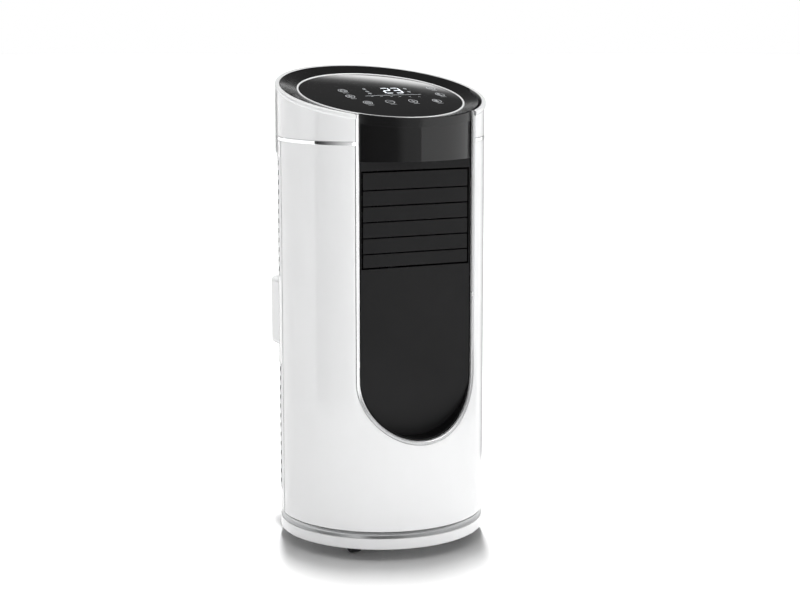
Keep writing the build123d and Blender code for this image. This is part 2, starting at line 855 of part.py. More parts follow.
def scroll(half, centre_y, mouth_y, bottom, top):
    body = scroll_solid(half + scroll_wall, centre_y, mouth_y, bottom - scroll_wall, top + scroll_wall)
    return body - scroll_solid(half, centre_y, mouth_y, bottom, top)


def tongue(half, fan_y, fan_radius, mouth_y, z):
    side = 1 if mouth_y > fan_y else -1
    y = fan_y + side * (fan_radius / 2)
    x = sqrt((fan_radius + tongue_gap) ** 2 - (fan_radius / 2) ** 2)
    wall_y = (min(y, y + side * tongue_wall), max(y, y + side * tongue_wall))
    return block((x, half), wall_y, z)


def condenser_scroll():
    body = scroll(socket_half, condenser_fan_y, socket_front, socket_bottom, socket_top)
    inlet = condenser_fan_radius - blade_length - inlet_margin
    body -= rod_z(inlet, socket_bottom - scroll_wall, socket_bottom, 0, condenser_fan_y)
    z = (socket_bottom, socket_top)
    return body + tongue(socket_half, condenser_fan_y, condenser_fan_radius, socket_front, z)


def evaporator_scroll():
    body = scroll(duct_half, evaporator_scroll_y, duct_rear, duct_bottom, duct_top)
    inlet = evaporator_fan_radius - blade_length - inlet_margin
    body -= rod_z(inlet, duct_bottom - scroll_wall, duct_bottom, 0, evaporator_fan_y)
    shaft_hole = rod_z(shaft_radius + seat_gap, duct_top, duct_top + scroll_wall, 0, evaporator_fan_y)
    z = (duct_bottom, duct_top)
    body += tongue(duct_half, evaporator_fan_y, evaporator_fan_radius, duct_rear, z)
    for x, y in ((-duct_half + leg_radius, 0), (duct_half - leg_radius, 0)):
        body += rod_z(leg_radius, deck_top, duct_bottom - scroll_wall, x, y)
    return body - shaft_hole


def blades(radius, bottom, top, y):
    blade_y = (radius - blade_length, radius)
    blade = block((-blade_wall / 2, blade_wall / 2), blade_y, (bottom, top))
    turns = [index * 360 / blade_count for index in range(blade_count)]
    return [Pos(0, y, 0) * Rot(0, 0, turn) * blade for turn in turns]


def condenser_fan():
    y = condenser_fan_y
    bottom = socket_bottom + condenser_fan_end_gap
    top = socket_top - condenser_fan_end_gap
    radius = condenser_fan_radius
    cup_bottom = socket_top - condenser_motor_height - cup_gap
    wheel = rod_z(radius, top - fan_plate, top, 0, y) + rod_z(cup_radius + cup_wall, cup_bottom, top, 0, y)
    wheel -= rod_z(cup_radius, cup_bottom + fan_plate, top, 0, y)
    ring = rod_z(radius, bottom, bottom + fan_ring, 0, y)
    ring -= rod_z(radius - blade_length / 2, bottom, bottom + fan_ring, 0, y)
    wheel = wheel + ring + blades(radius, bottom, top, y)
    return wheel + rod_z(shaft_radius, cup_bottom, socket_top - cup_gap, 0, y)


def condenser_motor():
    y = condenser_fan_y
    motor = rod_z(motor_radius, socket_top - condenser_motor_height, socket_top, 0, y)
    shaft_top = socket_top - cup_gap + seat_gap
    return motor - rod_z(shaft_radius + shaft_gap, socket_top - condenser_motor_height, shaft_top, 0, y)


def evaporator_fan():
    y = evaporator_fan_y
    bottom = duct_bottom + evaporator_fan_end_gap
    top = duct_top - evaporator_fan_end_gap
    radius = evaporator_fan_radius
    wheel = rod_z(radius, top - fan_plate, top, 0, y) + rod_z(hub_radius, top - 2 * hub_radius, top, 0, y)
    ring = rod_z(radius, bottom, bottom + fan_ring, 0, y)
    ring -= rod_z(radius - blade_length / 2, bottom, bottom + fan_ring, 0, y)
    wheel = wheel + ring + blades(radius, bottom, top, y)
    shaft_top = duct_top + scroll_wall + evaporator_motor_height - cup_gap
    return wheel + rod_z(shaft_radius, top, shaft_top, 0, y)


def evaporator_motor():
    y = evaporator_fan_y
    bottom = duct_top + scroll_wall
    top = bottom + evaporator_motor_height
    bore = rod_z(shaft_radius + shaft_gap, bottom, top - cup_gap + seat_gap, 0, y)
    return rod_z(motor_radius, bottom, top, 0, y) - bore


def electronics_box():
    bottom = duct_top + scroll_wall
    width, depth, height = control_box
    x = control_box_inset - duct_half
    y = evaporator_fan_y - control_box_offset
    return block((x - width / 2, x + width / 2), (y - depth / 2, y + depth / 2), (bottom, bottom + height))


def base_screws():
    screws = []
    for x, y in leg_places:
        screw = rod_z(screw_head, pan_floor - screw_head_height, pan_floor, x, y)
        screw += rod_z(screw_radius, pan_floor, pan_top + screw_length - seat_gap, x, y)
        screws.append(screw.solid())
    return Compound(screws)


# All nodes by name
nodes = {
    "base_pan": base_pan(),
    "base_trim": base_trim(),
    "front_shell": front_shell(),
    "rear_shell": rear_shell(),
    "upper_shell": upper_shell(),
    "rear_top_cover": rear_top_cover(),
    "accent_band": accent_band(),
    "front_trim": front_trim(),
    "front_panel": front_panel(),
    "collar": collar(),
    "louvre_frame": louvre_frame(),
    "louvre_link": louvre_link(),
    "louvre_crank": louvre_crank(),
    "louvre_motor": louvre_motor(),
    "vane_link": vane_link(),
    "top_dish": top_dish(),
    "control_ring": control_ring(),
    "control_glass": control_glass(),
    "display_board": display_board(),
    "lower_grille": grille(grille_bottom, grille_top),
    "upper_grille": grille(upper_grille_bottom, upper_grille_top),
    "upper_filter": upper_filter(),
    "exhaust_outlet": exhaust_outlet(),
    "drain_plug": drain_plug(),
    "cord_gland": cord_gland(),
    "condenser": coil(pan_top, condenser_bottom, condenser_top),
    "evaporator": coil(deck_top, evaporator_bottom, evaporator_top),
    "compressor": compressor(),
    "compressor_feet": compressor_feet(),
    "discharge_pipe": discharge_pipe(),
    "suction_pipe": suction_pipe(),
    "liquid_pipe": liquid_pipe(),
    "deck": deck(),
    "condenser_scroll": condenser_scroll(),
    "condenser_fan": condenser_fan(),
    "condenser_motor": condenser_motor(),
    "evaporator_scroll": evaporator_scroll(),
    "evaporator_fan": evaporator_fan(),
    "evaporator_motor": evaporator_motor(),
    "electronics_box": electronics_box(),
    "base_screws": base_screws(),
}
for index, (bottom, top, middle) in enumerate(slats, 1):
    nodes[f"louvre_slat_{index}"] = louvre_slat(bottom, top, middle)
for index, x in enumerate(vane_places(), 1):
    nodes[f"vane_{index}"] = vane(x)
for index, (x, y) in enumerate(caster_places(), 1):
    nodes[f"caster_fork_{index}"] = caster_fork(x, y)
    nodes[f"caster_wheel_{index}"] = caster_wheel(x, y)

# The origin is the middle of the floor area, so the body axis stands a little in front of it
axis_shift = -(exhaust_rear - body_radius) / 2

os.makedirs("parts", exist_ok=True)
for name, shape in nodes.items():
    export_step(Pos(0, axis_shift, 0) * shape, f"parts/{name}.step")
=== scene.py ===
import json
import math

import bmesh
import bpy
import numpy as np
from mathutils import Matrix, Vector


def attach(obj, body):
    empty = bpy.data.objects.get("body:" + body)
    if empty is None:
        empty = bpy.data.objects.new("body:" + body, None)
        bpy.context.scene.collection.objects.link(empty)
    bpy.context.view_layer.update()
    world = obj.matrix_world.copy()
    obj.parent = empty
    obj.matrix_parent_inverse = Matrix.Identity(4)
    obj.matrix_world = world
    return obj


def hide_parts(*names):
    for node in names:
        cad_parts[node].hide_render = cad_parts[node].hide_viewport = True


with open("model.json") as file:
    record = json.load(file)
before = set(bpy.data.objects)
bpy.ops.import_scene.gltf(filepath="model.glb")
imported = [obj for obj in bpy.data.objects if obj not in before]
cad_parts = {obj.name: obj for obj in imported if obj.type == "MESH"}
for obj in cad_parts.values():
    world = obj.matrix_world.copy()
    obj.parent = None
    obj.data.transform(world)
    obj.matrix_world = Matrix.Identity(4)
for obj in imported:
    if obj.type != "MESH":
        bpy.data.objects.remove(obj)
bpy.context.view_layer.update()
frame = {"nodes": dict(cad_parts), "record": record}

cadNodes = frame["nodes"]
bodies = frame["record"]["behaviour"]["bodies"]
nodeBody = {node: body for body, members in bodies.items() for node in members}
scene = bpy.context.scene
print("frame loaded:", len(cadNodes), "nodes")

# sizes that several pieces share, in millimetres and degrees about the cabinet's axis
cabinet = dict(radius=150.0, inner=147.0, shift=-14.0, bottom=43.0, seam=96.6, gap=0.3,
               bandBottom=589.0, bandTop=595.0, rim=658.2, tilt=12.3, rearZone=72.0, rearSeat=148.5,
               windowHalf=87.0, windowCentre=259.0, trimHalf=92.3, lipInner=146.0, lipHeight=5.0)
tiny = 1e-9  # keeps a division off zero


def pick(sizes, names):
    # values of a dictionary by their names, which spaces part
    return [sizes[name] for name in names.split()]


# shapes as functions of two parameters

def place(x, y, z):
    # millimetres about the axis to metres in the shared frame: y takes the shift, and all is divided by 1000
    x, y, z = np.broadcast_arrays(x, y, z)
    return np.stack([x, y + cabinet["shift"], z], axis=-1) / 1000.0


def rimAt(y, offset=0.0):
    # height of the slanted top: rim height plus offset plus y times the tangent of the tilt
    return cabinet["rim"] + offset + y * math.tan(math.radians(cabinet["tilt"]))


def softLoop(corners, cut, steps=4):
    # closed outline whose corner c becomes (1-t)^2 a + 2t(1-t) c + t^2 b, with a and b one cut away along
    # its two sides, or at most the longest share of a side
    longest = 0.45
    corners = np.asarray(corners, float)
    before = np.roll(corners, 1, axis=-2) - corners
    after = np.roll(corners, -1, axis=-2) - corners
    reach = np.broadcast_to(np.asarray(cut, float), corners.shape[:-1])[..., None]
    near, far = [np.minimum(reach / np.maximum(np.linalg.norm(side, axis=-1, keepdims=True), tiny), longest)
                 for side in (before, after)]
    t = np.linspace(0.0, 1.0, steps + 1)[:, None]
    a = (corners + before * near)[..., None, :]
    b = (corners + after * far)[..., None, :]
    loop = (1 - t) ** 2 * a + 2 * t * (1 - t) * corners[..., None, :] + t ** 2 * b
    return loop.reshape(corners.shape[:-2] + (-1, corners.shape[-1]))


def gridFaces(rows, columns, closeRows, closeColumns):
    # quads between neighbours of a grid numbered row by row; a closed direction joins its ends
    r = np.arange(rows if closeRows else rows - 1)[:, None]
    c = np.arange(columns if closeColumns else columns - 1)[None, :]
    nextRow, nextColumn = (r + 1) % rows, (c + 1) % columns
    corners = (r * columns + c, nextRow * columns + c, nextRow * columns + nextColumn,
               r * columns + nextColumn)
    return np.stack(np.broadcast_arrays(*corners), axis=-1).reshape(-1, 4)


def loft(points, closeRows=False, closeColumns=True, capped=True):
    # a grid of points as (points, faces): quads between the rows, and a flat face over each open end
    rows, columns = points.shape[:2]
    faces = gridFaces(rows, columns, closeRows, closeColumns).tolist()
    if capped and not closeRows:
        faces.append(list(range(columns)))
        faces.append(list(range((rows - 1) * columns, rows * columns)))
    return points.reshape(-1, 3), faces


def carryRound(section, cut, first, last, count):
    # a section carried round the axis: corners are (radius, level, 1 where the level counts from the rim);
    # first and last give the end angles for a radius, so that an end can stand on a plane of constant x
    radius, level, onRim = np.array(section, float).T
    t = np.linspace(0.0, 1.0, count)[:, None]
    angle = first(radius) + (last(radius) - first(radius)) * t
    z = level + onRim * rimAt(-radius * np.cos(angle))
    loop = softLoop(np.stack([np.broadcast_to(radius, z.shape), z], axis=-1), cut)
    r, z = loop[..., 0], loop[..., 1]
    angle = first(r) + (last(r) - first(r)) * t
    return place(r * np.sin(angle), -r * np.cos(angle), z)


def turned(profile, cut, centre, axis, count, steps=3):
    # a closed outline of (distance along, radius) turned once about a line through centre along x, y or z
    loop = softLoop(profile, cut, steps)
    along, radius = loop[None, :, 0], loop[None, :, 1]
    turn = np.linspace(0.0, 2 * math.pi, count, endpoint=False)[:, None]
    u, v = radius * np.cos(turn), radius * np.sin(turn)
    order = dict(x=(along, u, v), y=(u, along, v), z=(u, v, along))[axis]
    x, y, z = [start + part for start, part in zip(centre, order)]
    return loft(place(x, y, z), closeRows=True)


def windowPath(width, rows=24, turns=72):
    # the front window's outline at a distance from its middle line: down the left side, round the half
    # circle and up the right; gives x, the height over the half circle's centre where it is round, and the
    # share of the straight side, from 1 at the top to 0 at the half circle
    width = np.atleast_1d(width)[None, :]
    share = np.linspace(1.0, 0.0, rows, endpoint=False)[:, None] * np.ones_like(width)
    turn = np.radians(np.linspace(180.0, 360.0, turns + 1))[:, None]
    flat = np.zeros_like(share)
    x = np.concatenate([-width + flat, width * np.cos(turn), width + flat])
    bend = np.concatenate([flat, width * np.sin(turn), flat])
    share = np.concatenate([share, 0.0 * turn * width, share[::-1]])
    return x, bend, share


def gridLine(stops, step):
    # the stops, with evenly spaced values between them no further apart than the step
    counts = [max(math.ceil((b - a) / step), 1) for a, b in zip(stops, stops[1:])]
    runs = [np.linspace(a, b, count, endpoint=False) for a, b, count in zip(stops, stops[1:], counts)]
    return np.concatenate(runs + [np.array(stops[-1:], float)])


def maskedShell(angle, height, keep, outer, inner):
    # a round wall with openings: both faces of each kept cell of an angle and height grid, and a side face
    # along every line between a kept cell and one left out
    rows, columns = len(height), len(angle)
    turn, z = np.radians(angle)[None, :], np.asarray(height, float)[:, None]
    skins = [place(r * np.sin(turn), -r * np.cos(turn), z).reshape(-1, 3) for r in (outer, inner)]
    number = np.arange(rows * columns).reshape(rows, columns)
    back = number + rows * columns
    cell = [number[:-1, :-1], number[:-1, 1:], number[1:, 1:], number[1:, :-1]]
    faces = [np.stack([corner[keep] for corner in cell], axis=-1)]
    faces.append(faces[0][:, ::-1] + rows * columns)
    padded = np.pad(keep, 1)
    upright = padded[1:-1, 1:] != padded[1:-1, :-1]
    level = padded[1:, 1:-1] != padded[:-1, 1:-1]
    uprightSides = (number[:-1], number[1:], back[1:], back[:-1])
    levelSides = (number[:, :-1], number[:, 1:], back[:, 1:], back[:, :-1])
    for line, sides in ((upright, uprightSides), (level, levelSides)):
        faces.append(np.stack([side[line] for side in sides], axis=-1))
    points = np.concatenate(skins)
    faces = np.concatenate(faces)
    used, faces = np.unique(faces, return_inverse=True)
    return points[used], faces.reshape(-1, 4).tolist()


def mirrored(sheet):
    # the same sheet with x turned to minus x
    return sheet[0] * np.array([-1.0, 1.0, 1.0]), sheet[1]


# finishes

# what a look takes where it says nothing else: scales of the three noises, strength and depth in metres of
# the bump, and a stretch of the noise along x, y and z
usualLook = dict(patch=9.0, smear=26.0, grain=900.0, bump=0.05, depth=0.0002, stretch=(1.0, 1.0, 1.0))
shaderSockets = dict(metal="Metallic", specular="Specular IOR Level", coat="Coat Weight",
                     coatRough="Coat Roughness", glowStrength="Emission Strength")
noiseRange = (0.3, 0.7)  # the part of a noise's range that its values fill
noiseDetail = dict(patch=4.0, smear=5.0, grain=3.0)


def openTree(holder):
    # nodes and links of a material or world
    holder.use_nodes = True
    return holder.node_tree.nodes, holder.node_tree.links


def mapRange(nodes, links, value, source, target=(0.0, 1.0)):
    # a value carried from one range to another
    node = nodes.new("ShaderNodeMapRange")
    for socket, limit in zip(("From Min", "From Max", "To Min", "To Max"), (*source, *target)):
        node.inputs[socket].default_value = limit
    links.new(value, node.inputs["Value"])
    return node.outputs["Result"]


def finish(name, light, dark, rough, **other):
    # noise on Object coordinates: patches vary the shade, smears the roughness, and grain makes a fine bump
    look = {**usualLook, **other}
    material = bpy.data.materials.new(name)
    nodes, links = openTree(material)
    shader = nodes["Principled BSDF"]
    where = nodes.new("ShaderNodeTexCoord")

    def noise(kind):
        turn = nodes.new("ShaderNodeMapping")
        turn.inputs["Scale"].default_value = look["stretch"]
        cloud = nodes.new("ShaderNodeTexNoise")
        cloud.inputs["Scale"].default_value = look[kind]
        cloud.inputs["Detail"].default_value = noiseDetail[kind]
        links.new(where.outputs["Object"], turn.inputs["Vector"])
        links.new(turn.outputs["Vector"], cloud.inputs["Vector"])
        return cloud.outputs["Fac"]

    shade = nodes.new("ShaderNodeValToRGB")
    for element, position, colour in zip(shade.color_ramp.elements, noiseRange, (dark, light)):
        element.position = position
        element.color = (*colour, 1.0)
    links.new(noise("patch"), shade.inputs["Fac"])
    links.new(shade.outputs["Color"], shader.inputs["Base Color"])
    links.new(mapRange(nodes, links, noise("smear"), noiseRange, rough), shader.inputs["Roughness"])
    bump = nodes.new("ShaderNodeBump")
    bump.inputs["Strength"].default_value = look["bump"]
    bump.inputs["Distance"].default_value = look["depth"]
    links.new(noise("grain"), bump.inputs["Height"])
    links.new(bump.outputs["Normal"], shader.inputs["Normal"])
    for part, socket in shaderSockets.items():
        if part in look:
            shader.inputs[socket].default_value = look[part]
    if "glow" in look:
        shader.inputs["Emission Color"].default_value = (*look["glow"], 1.0)
    return material


# each look is its light and dark shade, its range of roughness, and what differs from the usual
looks = dict(
    whiteShell=((0.765, 0.768, 0.772), (0.752, 0.755, 0.759), (0.14, 0.2),
                dict(bump=0.03, grain=420.0, coat=0.4, coatRough=0.05)),
    whiteGrille=((0.75, 0.753, 0.757), (0.72, 0.723, 0.727), (0.3, 0.4), dict(bump=0.08, grain=1400.0)),
    satinSilver=((0.58, 0.585, 0.59), (0.53, 0.535, 0.54), (0.14, 0.2),
                 dict(bump=0.02, grain=1600.0, stretch=(1.0, 1.0, 0.25), metal=1.0)),
    grooveSilver=((0.43, 0.435, 0.44), (0.38, 0.385, 0.39), (0.28, 0.36),
                  dict(bump=0.06, grain=1600.0, stretch=(1.0, 1.0, 0.25), metal=1.0)),
    # the trim's bevel: near-white metal as a painted highlight along the window's inner edge
    trimBevelHighlight=((0.92, 0.923, 0.927), (0.89, 0.893, 0.897), (0.2, 0.28), dict(bump=0.02, metal=0.6)),
    # the control ring: silver, made pale and mostly diffuse as a painted highlight
    ringSilverHighlight=((0.95, 0.953, 0.957), (0.92, 0.923, 0.927), (0.16, 0.24),
                dict(bump=0.01, grain=700.0, metal=0.2)),
    brightChrome=((0.93, 0.93, 0.94), (0.88, 0.885, 0.89), (0.05, 0.1),
                  dict(bump=0.01, grain=700.0, metal=1.0)),
    satinBlack=((0.0092, 0.0092, 0.0096), (0.007, 0.007, 0.0074), (0.4, 0.5),
                dict(bump=0.12, grain=2200.0, specular=0.2)),
    deepBlack=((0.004, 0.004, 0.0042), (0.0028, 0.0028, 0.003), (0.55, 0.65),
               dict(bump=0.12, grain=2200.0, specular=0.1)),
    glossBlack=((0.0035, 0.0035, 0.0037), (0.0025, 0.0025, 0.0027), (0.05, 0.08),
                dict(bump=0.01, grain=500.0)),
    dishBlack=((0.0035, 0.0035, 0.0037), (0.0025, 0.0025, 0.0027), (0.15, 0.21),
               dict(bump=0.01, grain=500.0)),
    touchGlass=((0.004, 0.004, 0.0044), (0.0028, 0.0028, 0.003), (0.03, 0.05),
                dict(bump=0.006, grain=260.0)),
    litMark=((0.9, 0.93, 0.96), (0.8, 0.84, 0.88), (0.4, 0.5),
             dict(glow=(0.88, 0.94, 1.0), glowStrength=1.1)),
    dimMark=((0.6, 0.61, 0.62), (0.5, 0.51, 0.52), (0.4, 0.5),
             dict(glow=(0.88, 0.94, 1.0), glowStrength=0.4)),
    # printed key marks with a faint glow, which is painted light
    printAndPaintedGlow=((0.5, 0.51, 0.52), (0.42, 0.43, 0.44), (0.4, 0.5),
               dict(glow=(0.85, 0.9, 0.95), glowStrength=0.18)),
    circuitBoard=((0.02, 0.09, 0.04), (0.012, 0.05, 0.025), (0.35, 0.5), dict(patch=60.0)),
    filterMesh=((0.09, 0.095, 0.1), (0.05, 0.052, 0.055), (0.7, 0.85), dict(bump=0.6, grain=1200.0)),
    # black rubber for the compressor feet, and painted shade in the shells' seam
    rubberAndSeamShade=((0.028, 0.028, 0.028), (0.016, 0.016, 0.016), (0.6, 0.75), dict(bump=0.3, grain=1500.0)),
    coilFins=((0.62, 0.63, 0.64), (0.45, 0.46, 0.47), (0.3, 0.45),
              dict(bump=0.3, stretch=(1.0, 1.0, 0.2), metal=0.9)),
    compressorPaint=((0.018, 0.018, 0.02), (0.011, 0.011, 0.012), (0.3, 0.42), dict(bump=0.2, grain=500.0)),
    copperTube=((0.72, 0.36, 0.21), (0.5, 0.22, 0.12), (0.25, 0.42), dict(metal=1.0)),
    greyPlastic=((0.3, 0.31, 0.32), (0.25, 0.26, 0.27), (0.4, 0.52), dict(bump=0.15, grain=1300.0)),
    motorSteel=((0.5, 0.5, 0.51), (0.38, 0.38, 0.39), (0.3, 0.45), dict(metal=1.0)),
    casterBlack=((0.02, 0.02, 0.021), (0.013, 0.013, 0.014), (0.4, 0.55), dict(bump=0.2, grain=1300.0)),
    paleFloor=((0.92, 0.92, 0.92), (0.9, 0.9, 0.9), (0.6, 0.7),
               dict(bump=0.0, patch=0.6, smear=0.8, specular=0.0)),
)
paint = {name: finish(name, *shades, **other) for name, (*shades, other) in looks.items()}
print("finishes made:", len(paint))


# putting pieces into the scene

# lengths in metres, angles in degrees: faces join within flat, and an edge is sharp past the others
meshing = dict(double=2e-6, sliver=1e-6, flat=0.6, sharp=38.0, copySharp=32.0, edgeSteps=2)


def putObject(name, data):
    thing = bpy.data.objects.new(name, data)
    scene.collection.objects.link(thing)
    return thing


def cleanUp(mesh, flatten):
    # doubles merge; then triangles join into flat faces, or slivers go and normals turn outward
    work = bmesh.new()
    work.from_mesh(mesh)
    bmesh.ops.remove_doubles(work, verts=work.verts, dist=meshing["double"])
    if flatten:
        flat = math.radians(meshing["flat"])
        bmesh.ops.dissolve_limit(work, angle_limit=flat, verts=work.verts, edges=work.edges)
    else:
        bmesh.ops.dissolve_degenerate(work, edges=work.edges, dist=meshing["sliver"])
        bmesh.ops.recalc_face_normals(work, faces=work.faces)
    work.to_mesh(mesh)
    work.free()


def addPiece(name, sheets, material, bodyName="cabinet", stands=(), edge=0.0):
    # sheets of (points, faces) joined into one mesh
    points, faces, start = [], [], 0
    for sheetPoints, sheetFaces in sheets:
        points.append(sheetPoints)
        faces += [[corner + start for corner in face] for face in sheetFaces]
        start += len(sheetPoints)
    mesh = bpy.data.meshes.new(name)
    mesh.from_pydata(np.concatenate(points).tolist(), [], faces)
    cleanUp(mesh, flatten=False)
    setPiece(name, mesh, material, bodyName, stands, meshing["sharp"], edge)


def copyNode(node, material, edge=0.0):
    # a CAD node's own shape
    mesh = cadNodes[node].data.copy()
    mesh.materials.clear()
    cleanUp(mesh, flatten=True)
    setPiece(node + "_fine", mesh, material, nodeBody[node], (node,), meshing["copySharp"], edge)


def setPiece(name, mesh, material, bodyName, stands, sharp, edge):
    # faces shade smooth but for sharp edges, which are rounded where an edge width in millimetres is given
    mesh.name = name
    mesh.shade_smooth()
    mesh.set_sharp_from_angle(angle=math.radians(sharp))
    mesh.materials.append(material)
    piece = putObject(name, mesh)
    if edge:
        rounding = piece.modifiers.new("edges", "BEVEL")
        rounding.width, rounding.segments = edge / 1000.0, meshing["edgeSteps"]
        rounding.limit_method, rounding.angle_limit = "ANGLE", math.radians(sharp)
        rounding.use_clamp_overlap = True
    even = piece.modifiers.new("evenShading", "WEIGHTED_NORMAL")
    even.keep_sharp = True
    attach(piece, bodyName)
    if stands:
        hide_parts(*stands)


# base: in the dictionaries from here on, a soft or cut value is how far a corner of a section is rounded

base = dict(skirtBottom=17.0, skirtTop=33.0, shelfBottom=30.0, upstandOuter=144.0, upstandInner=141.0,
            upstandTop=46.0, floorBottom=36.0, floorTop=39.0, footSoft=0.8, edgeSoft=1.6, innerSoft=0.3,
            columns=192, drainHeight=56.0, drainRoot=9.0, drainNipple=8.0, drainBore=5.0, drainStart=142.5,
            drainStep=150.3, drainEnd=166.0, drainSoft=0.5, drainColumns=48)


def makeBase():
    # skirt, shelf and floor turned in one outline, with the drain's root and nipple behind
    radius, inner = pick(cabinet, "radius inner")
    foot, skirt, shelf, under, over = pick(base, "skirtBottom skirtTop shelfBottom floorBottom floorTop")
    near, far, wall = pick(base, "upstandInner upstandOuter upstandTop")
    outline = [(foot, inner), (foot, radius), (skirt, radius), (skirt, far), (wall, far), (wall, near),
               (over, near), (over, 0.0), (under, 0.0), (under, near), (shelf, near), (shelf, inner)]
    footSoft, edge, soft = pick(base, "footSoft edgeSoft innerSoft")
    cut = [footSoft, edge, edge, *[soft] * 4, 0.0, 0.0, *[soft] * 3]
    pan = turned(outline, cut, (0.0, 0.0, 0.0), "z", base["columns"], steps=4)
    start, step, end = pick(base, "drainStart drainStep drainEnd")
    root, nipple, bore = pick(base, "drainRoot drainNipple drainBore")
    nozzle = [(start, bore), (start, root), (step, root), (step, nipple), (end, nipple), (end, bore)]
    drain = turned(nozzle, base["drainSoft"], (0.0, 0.0, base["drainHeight"]), "y", base["drainColumns"])
    addPiece("basePan", [pan, drain], paint["whiteShell"], stands=("base_pan",))


groove = dict(inner=144.3, edge=149.0, middle=147.5, bottom=33.0, top=43.0, shadowGap=1.3, shadowDepth=2.2,
              cuts=(0.2, 0.4, 2.0, 0.4, 0.1, 0.1, 0.2), columns=192)


def makeGroove():
    # a ring hollowed along its side, with a thin shadow gap along its top
    inner, edge, bottom, top = pick(groove, "inner edge bottom top")
    under, deep = top - groove["shadowGap"], edge - groove["shadowDepth"]
    outline = [(bottom, inner), (bottom, edge), ((bottom + top) / 2, groove["middle"]), (under, edge),
               (under, deep), (top, deep), (top, inner)]
    ring = turned(outline, groove["cuts"], (0.0, 0.0, 0.0), "z", groove["columns"])
    addPiece("baseGroove", [ring], paint["grooveSilver"], stands=("base_trim",))


makeBase()
makeGroove()
print("base done")


# casing

# bend says how far in an edge's rounding its points stand, as shares
frontShell = dict(edgeSoft=1.1, seamGap=0.8, wall=3.0, across=30, sideRows=24, cornerRows=18, bottomRows=84,
                  bend=(0.08, 0.29, 0.62))


def makeFrontShell():
    # ruled between two lines of the unrolled shell, the window's edge and the outline along seam, bottom and
    # seam; a section runs over the outer face, round an edge, back inside and round the other edge
    radius, centre, soft = cabinet["radius"], cabinet["windowCentre"], frontShell["edgeSoft"]
    half = cabinet["trimHalf"] + cabinet["gap"]
    side = math.radians(cabinet["seam"]) * radius - frontShell["seamGap"]
    drop = centre - cabinet["bottom"]
    corner = math.degrees(math.atan2(drop, side))
    runs = [np.linspace(180, 180 + corner, frontShell["cornerRows"], endpoint=False),
            np.linspace(180 + corner, 360 - corner, frontShell["bottomRows"], endpoint=False),
            np.linspace(360 - corner, 360, frontShell["cornerRows"] + 1)]
    turn = np.radians(np.concatenate(runs))
    cosine, sine = np.cos(turn), np.sin(turn)
    reach = np.minimum(side / np.maximum(abs(cosine), tiny), drop / np.maximum(abs(sine), tiny))
    rows = frontShell["sideRows"]
    straight = np.linspace(cabinet["bandBottom"], centre, rows, endpoint=False)

    def aroundWindow(wide, far):
        # across and up along the left side, the turn and the right side
        across = np.concatenate([np.full(rows, -wide), far * cosine, np.full(rows, wide)])[:, None]
        return across, np.concatenate([straight, centre + far * sine, straight[::-1]])[:, None]

    edgeX, edgeZ = aroundWindow(half, half)
    outU, outZ = aroundWindow(side, reach)
    share = np.linspace(0.0, 1.0, frontShell["across"])
    bend = np.array(frontShell["bend"])
    still = np.zeros(len(share))
    stand = np.concatenate([soft * (1 - 2 * share), -soft * bend[::-1] ** 2, still, soft * bend ** 2])
    part = np.concatenate([share, np.ones(len(bend)), share[::-1], np.zeros(len(bend))])
    rounding = soft * (1 - bend) ** 2
    depth = np.concatenate([still, rounding[::-1], still + frontShell["wall"], rounding])
    edgeU = radius * np.arcsin(edgeX / (radius - depth))
    width = np.hypot(outU - edgeU, outZ - edgeZ)
    along = (stand + part * width) / width
    angle = (edgeU + (outU - edgeU) * along) / radius
    z = edgeZ + (outZ - edgeZ) * along
    wall = loft(place((radius - depth) * np.sin(angle), -(radius - depth) * np.cos(angle), z))
    addPiece("frontShell", [wall], paint["whiteShell"], stands=("front_shell",))


rearShell = dict(step=2.0, rise=40.0, lowerGrille=(77.7, 262.3), upperGrille=(393.7, 564.3), coverFrom=570.0,
                 exhaustHalf=104.3, exhaust=(266.7, 371.3), grilleZone=80.0, edgeSoft=1.0)


def makeRearShell():
    # a round wall with openings for both grilles, the outlet box and the top cover
    radius = cabinet["radius"]
    gap = math.degrees(cabinet["gap"] / radius)
    seam = 180 - cabinet["seam"] - math.degrees(frontShell["seamGap"] / radius)
    zone, grilleZone = cabinet["rearZone"] + gap, rearShell["grilleZone"] + gap
    exhaust = math.degrees(math.asin(rearShell["exhaustHalf"] / radius))
    turn = gridLine([-seam, -grilleZone, -zone, -exhaust, exhaust, zone, grilleZone, seam], rearShell["step"])
    low, high, box = pick(rearShell, "lowerGrille upperGrille exhaust")
    cover = (rearShell["coverFrom"], cabinet["bandBottom"])
    height = gridLine([cabinet["bottom"], *low, *box, *high, *cover], rearShell["rise"])
    midTurn = abs(turn[1:] + turn[:-1])[None, :] / 2
    midHeight = (height[1:] + height[:-1])[:, None] / 2
    opened = np.zeros((len(height) - 1, len(turn) - 1), bool)
    for half, (bottom, top) in ((grilleZone, low), (grilleZone, high), (zone, cover), (exhaust, box)):
        opened |= (midTurn < half) & (midHeight > bottom) & (midHeight < top)
    wall = maskedShell(turn + 180, height, ~opened, radius, cabinet["inner"])
    addPiece("rearShell", [wall], paint["whiteShell"], stands=("rear_shell",), edge=rearShell["edgeSoft"])


seamShadeStrip = dict(outer=149.8, inner=147.4, step=30.0)


def makeSeam():
    # a dark strip filling the joint between front and rear shell on both sides, almost flush; its black is
    # painted shade for the seam's gap
    half = math.degrees(frontShell["seamGap"] / cabinet["radius"])
    angle = np.array([cabinet["seam"] - half, cabinet["seam"] + half])
    height = gridLine([cabinet["bottom"], cabinet["bandBottom"]], seamShadeStrip["step"])
    whole = np.ones((len(height) - 1, 1), bool)
    strip = maskedShell(angle, height, whole, seamShadeStrip["outer"], seamShadeStrip["inner"])
    addPiece("shellSeamShade", [strip, mirrored(strip)], paint["rubberAndSeamShade"])


